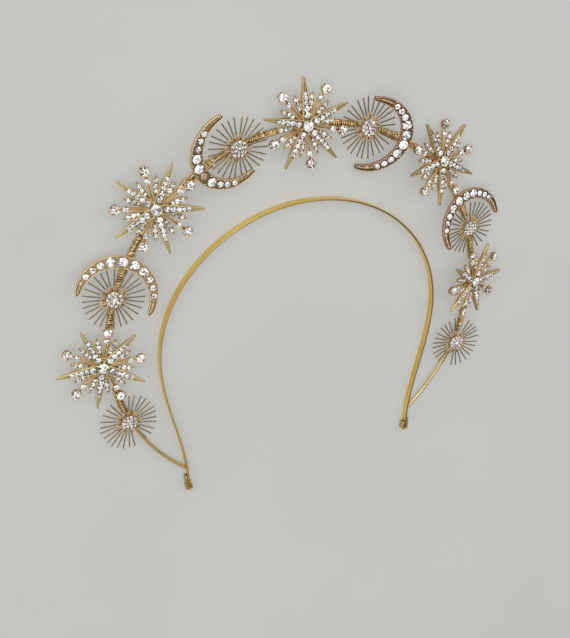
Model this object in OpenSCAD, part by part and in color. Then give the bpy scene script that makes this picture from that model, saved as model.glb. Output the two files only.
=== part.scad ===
// Celestial halo headpiece lying on its back: X to the wearer's left, Y up the halo, Z forward.
// A flat headband and a round halo wire share one plane. Stars, suns and crescents are wired on.

/* [Halo] */
// Radius of the halo wire's centre line
halo_r = 105; // [95:1:120]
// Diameter of the halo wire
wire_d = 2; // [1.5:0.1:3]
// Angle from the top of the halo to where each wire end meets the band
halo_end = 139.5; // [138:0.5:141]

/* [Headband] */
// Half width of the band at its widest, on the centre line
band_half_w = 80; // [72:1:84]
// Height of the band's top above its widest level
band_rise = 76.5; // [68:0.5:80]
// Level of the band's widest place, measured from the halo's centre
band_level = -10; // [-14:1:-6]
// How far each leg draws in below the widest place
band_draw_in = 11; // [8:0.5:14]
// Level of the band's ends, measured from the halo's centre
band_foot = -92; // [-98:1:-90]
// Width of the strip, front to back
band_w = 4; // [3.5:0.1:5]
// Thickness of the strip
band_t = 1; // [0.8:0.1:1.2]

/* [End tips] */
// Length of the folded tip on each band end
tip_len = 9.2; // [7:0.2:10]
// Thickness of each limb of the tip
tip_wall = 1.1; // [0.8:0.1:1.4]

/* [Star] */
// Radius to the end of a spike
spike_r = 22.8; // [20:0.2:25]
// Width of a spike near the middle of the star
spike_w = 4.2; // [3.6:0.1:5]
// Radius to the centre of a round outer stone
round_r = 18.7; // [17:0.1:20]
// Diameter of the cup that holds a round outer stone
round_cup_d = 5.2; // [4.6:0.1:6]
// Radius to the tip of a leaf
leaf_r = 15.6; // [14:0.2:17]
// Diameter of the collet at the middle
collet_d = 6.2; // [5.4:0.1:7]

/* [Sun] */
// Radius to the end of a pin
pin_r = 15.3; // [14:0.1:17]
// Diameter of a pin
pin_d = 0.7; // [0.6:0.05:1]
// Number of pins on each side of the halo wire
pins_per_side = 13; // [10:1:14]
// Radius of the stone cluster
cluster_r = 4.2; // [4:0.1:5]

/* [Crescent] */
// Radius of the outer edge
moon_r = 19.6; // [18.5:0.1:21]
// Radius of the inner edge
moon_inner_r = 16.6; // [16:0.1:17]
// Offset of the inner edge's centre towards the open side
moon_shift = 3.2; // [2.8:0.1:3.6]
// Angle from the middle of the crescent to each tip
moon_sweep = 106; // [95:1:110]

/* [Hidden] */
$fn = 48;

// Place of the halo's centre in the part's frame
centre_x = 2.86;
centre_y = -17.71;
centre_z = band_w / 2;
// Clearance between pieces that touch
gap = 0.1;
// Clearance between the wire and a casting that leans over it
lean_gap = 0.4;
// Smallest amount by which one shape runs into the next inside a piece
bite = 0.3;

// Heights above the wire's centre line
wrap_r = 1.8;
pivot_h = 3.4;
flower_h = 2;
flower_t = 1.2;
spikes_h = 3.4;
spikes_t = 1.7;
pins_h = 2.3;
cluster_h = 2.75;
moon_h = 3.4;
moon_t = 1.6;

gold = "goldenrod";
old_gold = "darkgoldenrod";
rose_gold = "peru";

// Places on the halo. Angles run clockwise from the top, as seen from the front.
// Columns: angle, distance outside the wire, turn of the piece, lean about X, lean about Y, lift
STAR_PLACES = [
    [-90.4, 4.2, -22.7, -3.2, -5, 0.5],
    [-45.4, 3.4, 23.5, -4.3, -6.8, 0],
    [-0.9, 0.8, -4.5, -4.4, -1, 0],
    [44.1, 3.1, -25.8, -11.3, 11.2, 1.1],
    [88.5, -1, 18, 2.4, 16.6, 1.7]
];
SUN_PLACES = [
    [-110.7, 0.8, -20.6, -4, 4, 0.4],
    [-70.9, 1.4, 19, -3, 1, 1.4],
    [-20.1, 0.4, 70, 4, 3, 0.5],
    [17.5, 0.2, 103.5, -5, 0, 0.5],
    [70.1, -0.4, 160.5, 2, 3, 0.4],
    [111, 0, 201, -5, -3, 0.4]
];
MOON_PLACES = [
    [-69.5, 1.1, 25.8, -8.9, -3, 2],
    [-22.8, 3.8, -121.4, 9.7, 6.7, 3.2],
    [19.7, -2.2, 102.5, 7.3, -12.7, 0],
    [68, -0.3, -22.7, -8.1, 7.6, 1.1]
];
// Wrapped stretches of the halo wire. Columns: first angle, last angle, first end, last end.
// An end is 0 where it is plain, 1 with an eyelet of wire and 2 with a thick bundle of turns
WRAPS = [
    [-108, -99, 0, 0],
    [-82, -73.4, 0, 0],
    [-68.4, -62.6, 0, 2],
    [-59.8, -53.5, 1, 0],
    [-37, -32.4, 0, 1],
    [-29.6, -22.6, 2, 0],
    [-17, -8, 0, 0],
    [6.5, 15, 0, 0],
    [21, 29.3, 0, 2],
    [32.2, 36.5, 1, 0],
    [53, 60.4, 0, 1],
    [62.3, 67.2, 2, 0],
    [73, 81.5, 0, 0],
    [98.5, 108, 0, 0]
];

// Eyelet and bundle that the craft wire makes near the end of a wrapped stretch
eyelet_r = 1.45;
eyelet_wire_d = 0.8;
bundle_r = 2.2;
bundle_rise = 0.3;
bundle_half = 0.95;
end_inset = 1;

// Star: size of the small parts
leaf_w = 3.2;
arm_w = 2.2;
small_cup_d = 3.2;
small_cup_r = 13.4;
hub_d = 10.4;
valley_r = 4.6;
spike_end_w = 1.1;
spike_floor_w = 2.5;
spike_recess = 0.6;
collet_h = 2.5;

// Sun: hub, teeth and cups of the cluster
sun_hub_d = 7;
first_pin = 13;
tooth_count = 10;
tooth_w = 1.5;
tooth_r = 7.4;
cup_count = 10;
cup_d = 1.7;
cup_ring_r = 3.1;
cup_h = 0.5;
centre_cup_d = 3.6;
centre_cup_h = 0.9;
// Number, from 0, of the sun whose last pin ends short, beside a star's cup, and that pin's reach
short_pin_sun = 3;
short_pin_r = 11.4;

// Crescent: rim width and channel depth
moon_rim = 0.75;
moon_channel = 0.8;

function unit_step(v) = min(1, max(0, v));
function smooth(v) = v * v * (3 - 2 * v);

// Half width of the band at a level below its widest place, easing in towards the leg
leg_ease = 76;
function leg_x(y) = band_half_w - band_draw_in * smooth(unit_step((band_level - y) / leg_ease));

// Centre line of the band from the left end over the top to the right end
leg_steps = 14;
arch_steps = 56;
function leg_points(side) = [
    for (i = [0 : leg_steps - 1])
        let (y = band_foot + (band_level - band_foot) * i / leg_steps)
            [side * leg_x(y), y]
];
function arch_points() = [
    for (i = [0 : arch_steps])
        let (a = -90 + 180 * i / arch_steps)
            [band_half_w * sin(a), band_level + band_rise * cos(a)]
];
function reversed(p) = [for (i = [len(p) - 1 : -1 : 0]) p[i]];
function band_line() = concat(leg_points(-1), arch_points(), reversed(leg_points(1)));

// Points of a line moved sideways by d, along the normal between its neighbours
function moved_aside(p, d) = [
    for (i = [0 : len(p) - 1])
        let (
            a = p[max(i - 1, 0)],
            b = p[min(i + 1, len(p) - 1)],
            t = (b - a) / norm(b - a)
        )
            p[i] + d * [-t[1], t[0]]
];

// Moves what follows from the halo's centre to the part's frame
module in_frame() {
    translate([centre_x, centre_y, centre_z])
        children();
}

// Puts a piece on the halo at one row of a table of places
module on_halo(place) {
    in_frame()
        rotate([0, 0, -place[0]])
            translate([0, halo_r + place[1], pivot_h + place[5]])
                rotate([0, 0, place[0]])
                    rotate([0, place[4], 0])
                        rotate([place[3], 0, 0])
                            rotate([0, 0, -place[2]])
                                translate([0, 0, -pivot_h])
                                    children();
}

// Height, in a piece's own frame, at which a boss of radius reach clears the wire as the piece leans
function seat(place, reach) =
    wire_d / 2 + lean_gap - place[5] + reach * tan(norm([place[3], place[4]]));

// Repeats a shape around Z, the first one at the given angle clockwise from +Y
module around(count, first) {
    for (i = [0 : count - 1])
        rotate([0, 0, -(first + 360 * i / count)])
            children();
}

// Flat strip bent into an arch, its ends drawn in
module headband() {
    outer = moved_aside(band_line(), band_t / 2);
    inner = moved_aside(band_line(), -band_t / 2);
    color(gold)
        in_frame()
            translate([0, 0, -band_w / 2])
                linear_extrude(height = band_w)
                    polygon(concat(outer, reversed(inner)));
}

// Folded clip over the end of the strip: two limbs joined by a round top on the outside
module band_tip(side) {
    foot_x = leg_x(band_foot);
    limb_x = band_t / 2 + gap + tip_wall / 2;
    top_y = band_foot + tip_len - tip_wall;
    clip_w = band_w - 0.4;
    color(old_gold)
        in_frame()
            translate([side * foot_x, 0, -clip_w / 2])
                linear_extrude(height = clip_w)
                    union() {
                        translate([side * limb_x - tip_wall / 2, band_foot - tip_wall])
                            square([tip_wall, tip_len]);
                        translate([side * limb_x, top_y])
                            circle(d = tip_wall);
                        translate([-limb_x - tip_wall / 2, band_foot - tip_wall - gap])
                            square([2 * limb_x + tip_wall, tip_wall]);
                        translate([-side * limb_x - tip_wall / 2, band_foot - tip_wall])
                            square([tip_wall, tip_len * 0.6]);
                    }
}

// Round wire bent to part of a circle, its ends cut off along the outside of the band
module halo_wire() {
    color(gold)
        in_frame()
            difference() {
                rotate([0, 0, 90 - halo_end])
                    rotate_extrude(angle = 2 * halo_end)
                        translate([halo_r, 0])
                            circle(d = wire_d);
                translate([0, 0, -wire_d])
                    linear_extrude(height = 2 * wire_d)
                        polygon(moved_aside(band_line(), band_t / 2 + gap));
            }
}

// Outline of a leaf that points along +Y
module leaf_outline() {
    foot_r = 4;
    belly_r = 10.5;
    half_end = 0.5;
    polygon([
        [-leaf_w * 0.35, foot_r],
        [-leaf_w / 2, belly_r],
        [-leaf_w * 0.38, belly_r + 3],
        [-half_end, leaf_r],
        [half_end, leaf_r],
        [leaf_w * 0.38, belly_r + 3],
        [leaf_w / 2, belly_r],
        [leaf_w * 0.35, foot_r]
    ]);
}

// Lower casting of a star: hub, ten leaves and five arms that end in cups
module star_flower(place) {
    arm_angle = 36;
    leaf_angle = 18;
    boss_d = 6;
    small_cup_h = 2;
    round_cup_h = 2.8;
    color(rose_gold)
        on_halo(place) {
            translate([0, 0, seat(place, boss_d / 2)])
                cylinder(d = boss_d, h = flower_h + bite - seat(place, boss_d / 2));
            translate([0, 0, flower_h])
                linear_extrude(height = flower_t)
                    union() {
                        circle(d = hub_d);
                        around(10, leaf_angle)
                            leaf_outline();
                        around(5, arm_angle) {
                            translate([-arm_w / 2, 4])
                                square([arm_w, round_r - 4]);
                            translate([0, round_r])
                                circle(d = round_cup_d - 2 * bite);
                        }
                    }
            around(5, arm_angle) {
                translate([0, small_cup_r, flower_h + bite])
                    cylinder(d = small_cup_d, h = small_cup_h - bite);
                translate([0, round_r, flower_h + bite])
                    cylinder(d = round_cup_d, h = round_cup_h - bite);
            }
        }
}

// Outline of one spike that points along +Y, from the middle of the star
module spike_outline(width, end_width, reach) {
    polygon([
        [-width / 2, 0],
        [-width / 2, valley_r],
        [-end_width / 2, reach],
        [end_width / 2, reach],
        [width / 2, valley_r],
        [width / 2, 0]
    ]);
}

// Upper casting of a star: five channelled spikes and a round collet
module star_spikes(place) {
    channel_end = 0.62;
    channel_end_w = 1;
    stem_d = 5;
    color(old_gold)
        on_halo(place) {
            difference() {
                translate([0, 0, spikes_h])
                    linear_extrude(height = spikes_t)
                        union() {
                            circle(r = valley_r + 0.4);
                            around(5, 0)
                                spike_outline(spike_w, spike_end_w, spike_r);
                        }
                around(5, 0)
                    translate([0, 0, spikes_h + spikes_t - spike_recess])
                        linear_extrude(height = spike_recess + bite)
                            spike_outline(spike_floor_w, channel_end_w, spike_r * channel_end);
            }
            translate([0, 0, spikes_h])
                cylinder(d = collet_d, h = collet_h);
            translate([0, 0, flower_h + flower_t + gap])
                cylinder(d = stem_d, h = spikes_h - flower_h - flower_t - gap + bite);
        }
}

// Outline of a crescent whose middle points along +Y, its edges drawn in by an inset
module moon_outline(inset, sweep) {
    reach = 2 * moon_r;
    outer_r = moon_r - inset;
    inner_r = moon_inner_r + inset;
    tip_mid_r = (moon_r + tip_inner_r(sweep)) / 2;
    tip_half = (moon_r - tip_inner_r(sweep)) / 2 - inset;
    union() {
        difference() {
            circle(r = outer_r, $fn = 120);
            translate([0, -moon_shift])
                circle(r = inner_r, $fn = 120);
            polygon([
                [0, 0],
                [reach * sin(sweep), reach * cos(sweep)],
                [0, -2 * reach],
                [-reach * sin(sweep), reach * cos(sweep)]
            ]);
        }
        for (side = [-1, 1])
            rotate([0, 0, side * sweep])
                translate([0, tip_mid_r])
                    circle(r = tip_half, $fn = 24);
    }
}

// Distance from the crescent's centre to its inner edge at an angle from its middle
function tip_inner_r(a) =
    -moon_shift * cos(a) + sqrt(pow(moon_inner_r, 2) - pow(moon_shift * sin(a), 2));

// Crescent casting with a channel between two rims
module crescent(place) {
    channel_sweep = moon_sweep - 3;
    color(rose_gold)
        on_halo(place)
            difference() {
                translate([0, 0, moon_h])
                    linear_extrude(height = moon_t)
                        moon_outline(0, moon_sweep);
                translate([0, 0, moon_h + moon_t - moon_channel])
                    linear_extrude(height = moon_channel + bite)
                        moon_outline(moon_rim, channel_sweep);
            }
}

// Lower part of a sun: round hub and thin straight pins that leave the wire's path free
module sun_pins(number) {
    place = SUN_PLACES[number];
    hub_top = pins_h + 0.2;
    pin_step = (180 - 2 * first_pin) / (pins_per_side - 1);
    color(old_gold)
        on_halo(place) {
            translate([0, 0, seat(place, sun_hub_d / 2)])
                cylinder(d = sun_hub_d, h = hub_top - seat(place, sun_hub_d / 2));
            for (side = [0, 180], i = [0 : pins_per_side - 1]) {
                short = number == short_pin_sun && side == 0 && i == pins_per_side - 1;
                reach = short ? short_pin_r : pin_r - 0.3 * (i % 3);
                rotate([0, 0, -(side + first_pin + pin_step * i)])
                    translate([0, sun_hub_d / 2 - bite, pins_h])
                        rotate([-90, 0, 0])
                            cylinder(d = pin_d, h = reach - sun_hub_d / 2 + bite, $fn = 16);
            }
        }
}

// Upper part of a sun: toothed plate, ring of small cups and a taller one in the middle
module sun_cluster(place) {
    plate_t = 0.6;
    color(rose_gold)
        on_halo(place) {
            translate([0, 0, cluster_h])
                linear_extrude(height = plate_t)
                    union() {
                        circle(r = cluster_r);
                        around(tooth_count, 9)
                            translate([-tooth_w / 2, 3])
                                square([tooth_w, tooth_r - 3]);
                    }
            around(cup_count, 0)
                translate([0, cup_ring_r, cluster_h + plate_t - bite])
                    cylinder(d = cup_d, h = cup_h + bite);
            translate([0, 0, cluster_h + plate_t - bite])
                cylinder(d = centre_cup_d, h = centre_cup_h + bite);
        }
}

// Bent rod around a stretch of the halo, its section raised by some amount
module bent_rod(first, last, reach, rise) {
    rotate([0, 0, 90 - last])
        rotate_extrude(angle = last - first)
            translate([halo_r, rise])
                circle(r = reach);
}

// What is added near an end of a wrapped stretch: nothing, a flat ring of wire or a bundle
module wrap_end(kind, angle) {
    if (kind == 1)
        rotate([0, 0, -angle])
            translate([0, halo_r, wrap_r + eyelet_wire_d / 2 - bite])
                rotate_extrude()
                    translate([eyelet_r, 0])
                        circle(d = eyelet_wire_d, $fn = 16);
    if (kind == 2)
        bent_rod(angle - bundle_half, angle + bundle_half, bundle_r, bundle_rise);
}

// Craft wire wound around a stretch of the halo wire, with its ends
module wire_wrap(row) {
    color(gold)
        in_frame()
            difference() {
                union() {
                    bent_rod(row[0], row[1], wrap_r, 0);
                    wrap_end(row[2], row[0] + end_inset);
                    wrap_end(row[3], row[1] - end_inset);
                }
                bent_rod(row[0] - 1, row[1] + 1, wire_d / 2 + 0.02, 0);
            }
}

headband();
band_tip(-1);  // band_tip_left
band_tip(1);  // band_tip_right
halo_wire();
for (i = [0 : 4]) {
    star_flower(STAR_PLACES[i]);
    star_spikes(STAR_PLACES[i]);
}
for (i = [0 : 3])
    crescent(MOON_PLACES[i]);
for (i = [0 : 5]) {
    sun_pins(i);
    sun_cluster(SUN_PLACES[i]);
}
for (i = [0 : 13])
    wire_wrap(WRAPS[i]);
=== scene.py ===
"""Looks of a celestial halo headpiece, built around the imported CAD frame.

Inside the classes lengths are millimetres, and a mesh is made in metres. Each ornament is worked out in its own
frame, X to its right, Y up and Z out of its face, and is then carried to its place on the halo wire. A piece is
rows of points carried along a path, worked out as whole arrays.
"""

import logging
import math
from dataclasses import dataclass, fields, replace
from enum import Enum
from typing import Any, Callable, Dict, Mapping, Optional, Sequence, Tuple, Union

import bpy
import numpy as np
from mathutils import Matrix, Vector


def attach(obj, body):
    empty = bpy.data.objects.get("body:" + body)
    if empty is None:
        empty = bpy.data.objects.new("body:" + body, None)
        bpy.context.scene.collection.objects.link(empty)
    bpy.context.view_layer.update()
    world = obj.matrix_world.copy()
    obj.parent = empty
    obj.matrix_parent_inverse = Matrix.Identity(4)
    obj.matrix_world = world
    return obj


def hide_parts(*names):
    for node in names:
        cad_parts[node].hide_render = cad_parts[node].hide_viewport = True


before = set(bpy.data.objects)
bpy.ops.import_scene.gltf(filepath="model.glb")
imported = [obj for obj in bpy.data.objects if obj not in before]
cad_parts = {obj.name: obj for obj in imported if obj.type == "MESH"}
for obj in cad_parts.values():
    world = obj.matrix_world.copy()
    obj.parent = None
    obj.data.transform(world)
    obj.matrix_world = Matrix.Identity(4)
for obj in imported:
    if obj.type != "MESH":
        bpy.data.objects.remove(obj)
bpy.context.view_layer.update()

LOG = logging.getLogger("halo")
TAU = 2.0 * math.pi
MM = 0.001
FRONT = np.array([0.0, 0.0, 1.0])

Array = np.ndarray
Colour = Tuple[float, float, float]
Point = Tuple[float, float, float]
Profile = Sequence[Tuple[float, float]]


class Slot(Enum):
    """The record's material slots."""

    BAND = "band_gold"
    TIP = "tip_gold"
    ROD = "wire_gold"
    ROSE = "rose_gold"
    OLD = "old_gold"
    CRAFT = "craft_wire"
    STONE = "rhinestone"


class Pattern(Enum):
    """How a metal's fine texture lies: as cast grain, or drawn out along the piece."""

    CAST = "cast"
    DRAWN = "drawn"


class WrapEnd(Enum):
    """How a wound stretch ends: plainly, in an eyelet of wire, or in a thick bundle."""

    PLAIN = "plain"
    EYELET = "eyelet"
    BUNDLE = "bundle"


# ---------------------------------------------------------------------------------------------- surfaces


@dataclass
class Shape:
    """A surface in millimetres with a tone on each face. On metal it runs from 0, open and polished, to 1, deep and
    dark with painted shade and patina; on a stone it picks each facet's painted reflection.

    points is (n, 3). quads (m, 4) and tris (k, 3) hold point numbers, and quad_tone and tri_tone go with them.
    grain is (n, 3), the points as they lie when the piece is straightened out.
    """

    points: Array
    quads: Array
    tris: Array
    quad_tone: Array
    tri_tone: Array
    grain: Array

    def outward(self) -> "Shape":
        """Turns every face round if the signed volume, the sum of its corners' triple products, is below zero."""
        corners = np.concatenate([self.quads[:, [0, 1, 2]], self.quads[:, [0, 2, 3]], self.tris])
        a, b, c = (self.points[corners[:, i]] for i in range(3))
        if np.einsum("ij,ij->", a, np.cross(b, c)) < 0.0:
            self.quads, self.tris = self.quads[:, ::-1], self.tris[:, ::-1]
        return self

    def moved(self, matrix: Array) -> "Shape":
        """The same surface carried by a 4 x 4 matrix."""
        return replace(self, points=self.points @ matrix[:3, :3].T + matrix[:3, 3])

    def copies(self, frames: Array, tones: Optional[Tuple[Array, Array]] = None) -> "Shape":
        """One surface made of a copy at each frame: point p of copy i is frames[i] times p.

        Args:
            frames: (k, 4, 4) matrices, one a copy.
            tones: (k, m) tones of the quads and (k, t) of the triangles, where each copy has its own.

        Returns:
            All copies as one surface.
        """
        count = len(frames)
        points = np.einsum("kij,nj->kni", frames[:, :3, :3], self.points) + frames[:, None, :3, 3]
        step = (np.arange(count) * len(self.points))[:, None, None]
        quad_tone, tri_tone = tones or (np.tile(self.quad_tone, count), np.tile(self.tri_tone, count))
        return Shape(
            points.reshape(-1, 3), (self.quads + step).reshape(-1, 4), (self.tris + step).reshape(-1, 3),
            quad_tone.ravel(), tri_tone.ravel(), np.tile(self.grain, (count, 1)),
        )


def joined(shapes: Sequence[Shape]) -> Shape:
    """Several surfaces as one."""
    starts = np.cumsum([0] + [len(s.points) for s in shapes[:-1]])
    shifted = [replace(s, quads=s.quads + n, tris=s.tris + n) for s, n in zip(shapes, starts)]
    return Shape(*(np.concatenate([getattr(s, field.name) for s in shifted]) for field in fields(Shape)))


def unit(v: Array) -> Array:
    """The vectors of an array, each made one long."""
    return v / np.linalg.norm(v, axis=-1, keepdims=True)


def share(x: Array, start: float, end: float) -> Array:
    """How far x has come from start to end: 0 before start, 1 past end, and straight between."""
    return np.clip((x - start) / (end - start), 0.0, 1.0)


def eased(v: Array) -> Array:
    """A smooth step from 0 to 1: 3 v^2 - 2 v^3."""
    return v * v * (3.0 - 2.0 * v)


def rounding(u: Array, least: float) -> Array:
    """The root of 1 - u^2, which closes an end in a quarter ellipse; 1 - u^2 is held above least."""
    return np.sqrt(np.clip(1.0 - u**2, least, 1.0))


def run_length(path: Array) -> Array:
    """The distance along a path to each of its points."""
    return np.concatenate([[0.0], np.cumsum(np.linalg.norm(np.diff(path, axis=0), axis=-1))])


def skin(
    rows: Array, tone: Union[float, Array] = 0.0, ends: Optional[Array] = None, grain: Optional[Array] = None
) -> Shape:
    """Skins rows of points into a closed surface.

    The face between rows i and i+1 and columns j and j+1 joins their four points, and the columns close up. Each
    end is a fan from one point to its row.

    Args:
        rows: (n, m, 3) points, a row for each station along the piece.
        tone: one tone, one for each column, or (n, m) of them.
        ends: (2, 3) middle points of the two end fans; without it, the means of the end rows.
        grain: (n, m, 3) straightened points; without it, the points themselves.

    Returns:
        The surface, its faces turned outwards.
    """
    n, m, _ = rows.shape
    grain = rows if grain is None else grain
    number = np.arange(n * m).reshape(n, m)
    here, ahead = number[:-1], number[1:]
    first, last = number[0], number[-1]
    tones = np.broadcast_to(np.asarray(tone, float), (n, m))
    middles = rows[[0, -1]].mean(1) if ends is None else ends
    return Shape(
        points=np.concatenate([rows.reshape(-1, 3), middles]),
        quads=np.stack([here, np.roll(here, -1, 1), np.roll(ahead, -1, 1), ahead], -1).reshape(-1, 4),
        tris=np.concatenate([
            np.stack([np.roll(first, -1), first, np.full(m, n * m)], -1),
            np.stack([last, np.roll(last, -1), np.full(m, n * m + 1)], -1),
        ]),
        quad_tone=tones[:-1].ravel(),
        tri_tone=np.full(2 * m, tones[[0, -1]].mean()),
        grain=np.concatenate([grain.reshape(-1, 3), grain[[0, -1]].mean(1)]),
    ).outward()


def tube(path: Array, radius: float, sides: int, toward: Array, tone: Union[float, Array] = 0.0) -> Shape:
    """Carries a circle along a path in space.

    Row i is path[i] plus radius times (cos t times the first cross direction plus sin t times the second). The
    first cross direction is toward less its part along the path, and the second is square to both.

    Args:
        path: (n, 3) points.
        radius: of the circle.
        sides: points around the circle.
        toward: (3,) or (n, 3) directions that give the circle's first point.
        tone: one tone, one for each column, or one for each row and column.

    Returns:
        The tube, with blunt ends.
    """
    along = unit(np.gradient(path, axis=0))
    toward = np.broadcast_to(toward, path.shape)
    first = unit(toward - np.sum(toward * along, -1, keepdims=True) * along)
    second = np.cross(along, first)
    t = np.arange(sides) * TAU / sides
    across, rise = (radius * np.broadcast_to(wave(t), (len(path), sides)) for wave in (np.cos, np.sin))
    rows = path[:, None] + across[..., None] * first[:, None] + rise[..., None] * second[:, None]
    length = np.broadcast_to(run_length(path)[:, None], across.shape)
    return skin(rows, tone, grain=np.stack([length, across, rise], -1))


def lathe(
    profile: Profile, sides: int, tone: float = 0.0,
    lobes: int = 0, swell: float = 0.0, poles: Optional[Tuple[float, float]] = None,
) -> Shape:
    """A turned form.

    At each height of the profile the wall stands its radius from the axis, times 1 + swell cos(lobes t).

    Args:
        profile: radius and height at each level.
        sides: points around the axis.
        tone: one tone for the whole form.
        lobes: number of scallops around it.
        swell: how far each scallop swells, as a share of the radius.
        poles: heights of the two ends' middle points, where they aren't flat.

    Returns:
        The closed form.
    """
    radii, heights = np.array(profile, float).T
    t = np.arange(sides) * TAU / sides
    r = np.outer(radii, 1.0 + swell * np.cos(lobes * t))
    rows = np.stack([r * np.cos(t), r * np.sin(t), np.broadcast_to(heights[:, None], r.shape)], -1)
    ends = None if poles is None else np.array([[0.0, 0.0, poles[0]], [0.0, 0.0, poles[1]]])
    return skin(rows, tone, ends=ends)


def casting(
    path: Array, side: Array, lateral: Array, height: Array, tone: Array, grain: Optional[Array] = None
) -> Shape:
    """Carries a section along a path in the ornament's plane: point = path + lateral times side, at its height.

    Args:
        path: (n, 2) points of the middle line.
        side: (n, 2) unit directions across it.
        lateral: (n, m) distances along side.
        height: (n, m) heights.
        tone: (m,) or (n, m) tones.
        grain: (n, m, 3) straightened points, where they differ from the points.

    Returns:
        The closed casting.
    """
    flat = path[:, None] + lateral[..., None] * side[:, None]
    return skin(np.concatenate([flat, height[..., None]], -1), tone, grain=grain)


def blade(r: Array, lateral: Array, height: Array, tone: Array) -> Shape:
    """A casting whose middle line runs up along Y, at the distances r."""
    return casting(np.stack([0.0 * r, r], -1), np.broadcast_to((1.0, 0.0), (len(r), 2)), lateral, height, tone)


def strap(line: Array, lateral: Array, height: Array, tone: Array) -> Shape:
    """A casting along any line in the plane, square to it, with its grain drawn out along it."""
    along = unit(np.gradient(line, axis=0))
    side = np.stack([-along[:, 1], along[:, 0]], -1)
    length = np.broadcast_to(run_length(line)[:, None], height.shape)
    return casting(line, side, lateral, height, tone, np.stack([length, lateral, height], -1))


@dataclass(frozen=True)
class RimSection:
    """Section of a casting with a raised rim on each side of a channel.

    Attributes:
        bottom: height of its underside.
        top: height of the rims.
        rim: width of a rim.
        depth: depth of the channel under the rims.
        splay: how far each foot stands out beyond the rim, where the piece is 3.2 mm wide or more.
    """

    bottom: float
    top: float
    rim: float
    depth: float
    splay: float

    # Columns from the foot to the channel: shares of the splay outwards and of the rim inwards, and the tones of
    # the faces that follow them; the tones paint shade on the foot and painted shade with patina in the channel
    OUTWARD = np.array([1.0, 0.35, 0.0, 0.0, 0.0, 0.0, 0.0, 0.0])
    INWARD = np.array([0.0, 0.0, 0.0, 0.22, 0.5, 0.78, 1.0, 1.12])
    TONES = [0.45, 0.2, 0.0, 0.0, 0.0, 0.1, 0.75, 1.0]
    # The underside's tone is painted shade
    UNDERSIDE_TONE = 0.6
    # How far the five columns over the rounded rim lie below its top, as shares of its width
    ROUND = np.array([0.4, 0.1, 0.0, 0.1, 0.4])
    # Numbers of the columns on the rim's top and in the channel's middle
    CREST, MIDDLE = 4, 8

    def sides(self, half: Array, fall: Union[float, Array] = 0.0) -> Tuple[Array, Array, Array]:
        """Lays the section out for each half width.

        Each half goes from the foot up the wall, over the rounded rim and down to the channel's middle. A rim
        is at most 0.45 of the half width, so that it closes up at a tip, and the channel gets shallower there.

        Args:
            half: (n,) half widths along the piece.
            fall: (n,) or one amount by which the top comes down.

        Returns:
            lateral and height, each (n, 17), and the 17 tones.
        """
        w = half[:, None]
        r = np.minimum(self.rim, 0.45 * w)
        top = self.top - np.broadcast_to(fall, half.shape)[:, None]
        deep = np.minimum(self.depth, (top - self.bottom) * 0.6) * np.minimum(1.0, w / (2.0 * self.rim))
        waist = self.bottom + 0.45 * (top - self.bottom)
        x = w + self.splay * np.minimum(1.0, w / 1.6) * self.OUTWARD - r * self.INWARD
        z = np.concatenate([self.bottom + 0.0 * w, waist, top - r * self.ROUND, top - deep], 1)
        lateral = np.concatenate([x, 0.0 * w, -x[:, ::-1]], 1)
        height = np.concatenate([z, top - deep, z[:, ::-1]], 1)
        return lateral, height, np.array([*self.TONES, *self.TONES[::-1], self.UNDERSIDE_TONE])


# ---------------------------------------------------------------------------------------------- frames


def shift(x: float = 0.0, y: float = 0.0, z: float = 0.0) -> Array:
    """A 4 x 4 matrix that moves."""
    return np.array(Matrix.Translation((x, y, z)))


def turned(axis: str, degrees: float) -> Array:
    """A 4 x 4 matrix that turns about X, Y or Z."""
    return np.array(Matrix.Rotation(math.radians(degrees), 4, axis))


def spun(axis: int, degrees: Array) -> Array:
    """Turns about one axis, a 4 x 4 matrix for each angle."""
    a = np.radians(np.asarray(degrees, float))
    i, j = (axis + 1) % 3, (axis + 2) % 3
    out = np.tile(np.eye(4), (len(a), 1, 1))
    out[:, i, i] = out[:, j, j] = np.cos(a)
    out[:, j, i] = np.sin(a)
    out[:, i, j] = -np.sin(a)
    return out


def clockwise(degrees: Array) -> Array:
    """Turns about Z that carry +Y to each angle clockwise from it."""
    return spun(2, -np.asarray(degrees, float))


def scaled(centres: Union[Point, Array], size: Union[float, Array] = 1.0) -> Array:
    """Frames that scale and move.

    Args:
        centres: (k, 3) places, or one for all.
        size: (k,) scales, (k, 3) scales along the three axes, or one for all.

    Returns:
        (k, 4, 4) matrices.
    """
    centres, size = np.atleast_2d(centres), np.atleast_1d(size)
    size = size[:, None] if size.ndim == 1 else size
    out = np.tile(np.eye(4), (max(len(centres), len(size)), 1, 1))
    out[:, [0, 1, 2], [0, 1, 2]] = size
    out[:, :3, 3] = centres
    return out


def polar(degrees: Array, radius: Array, height: Array) -> Array:
    """Points (r sin a, r cos a, z) for angles clockwise from +Y."""
    a, r, z = np.broadcast_arrays(np.radians(np.asarray(degrees, float)), radius, height)
    return np.stack([r * np.sin(a), r * np.cos(a), z], -1).reshape(-1, 3)


def ring(count: int, radius: float, height: float, turn: float = 0.0) -> Array:
    """Points spread evenly round a circle, the first one turn degrees clockwise from +Y."""
    return polar(np.arange(count) * 360.0 / count + turn, radius, height)


def around(angles: Array, local: Array) -> Array:
    """Points beside the +Y axis, (k, 3), repeated at each angle clockwise from it."""
    return np.einsum("aij,kj->aki", clockwise(angles)[:, :3, :3], local).reshape(-1, 3)


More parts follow.
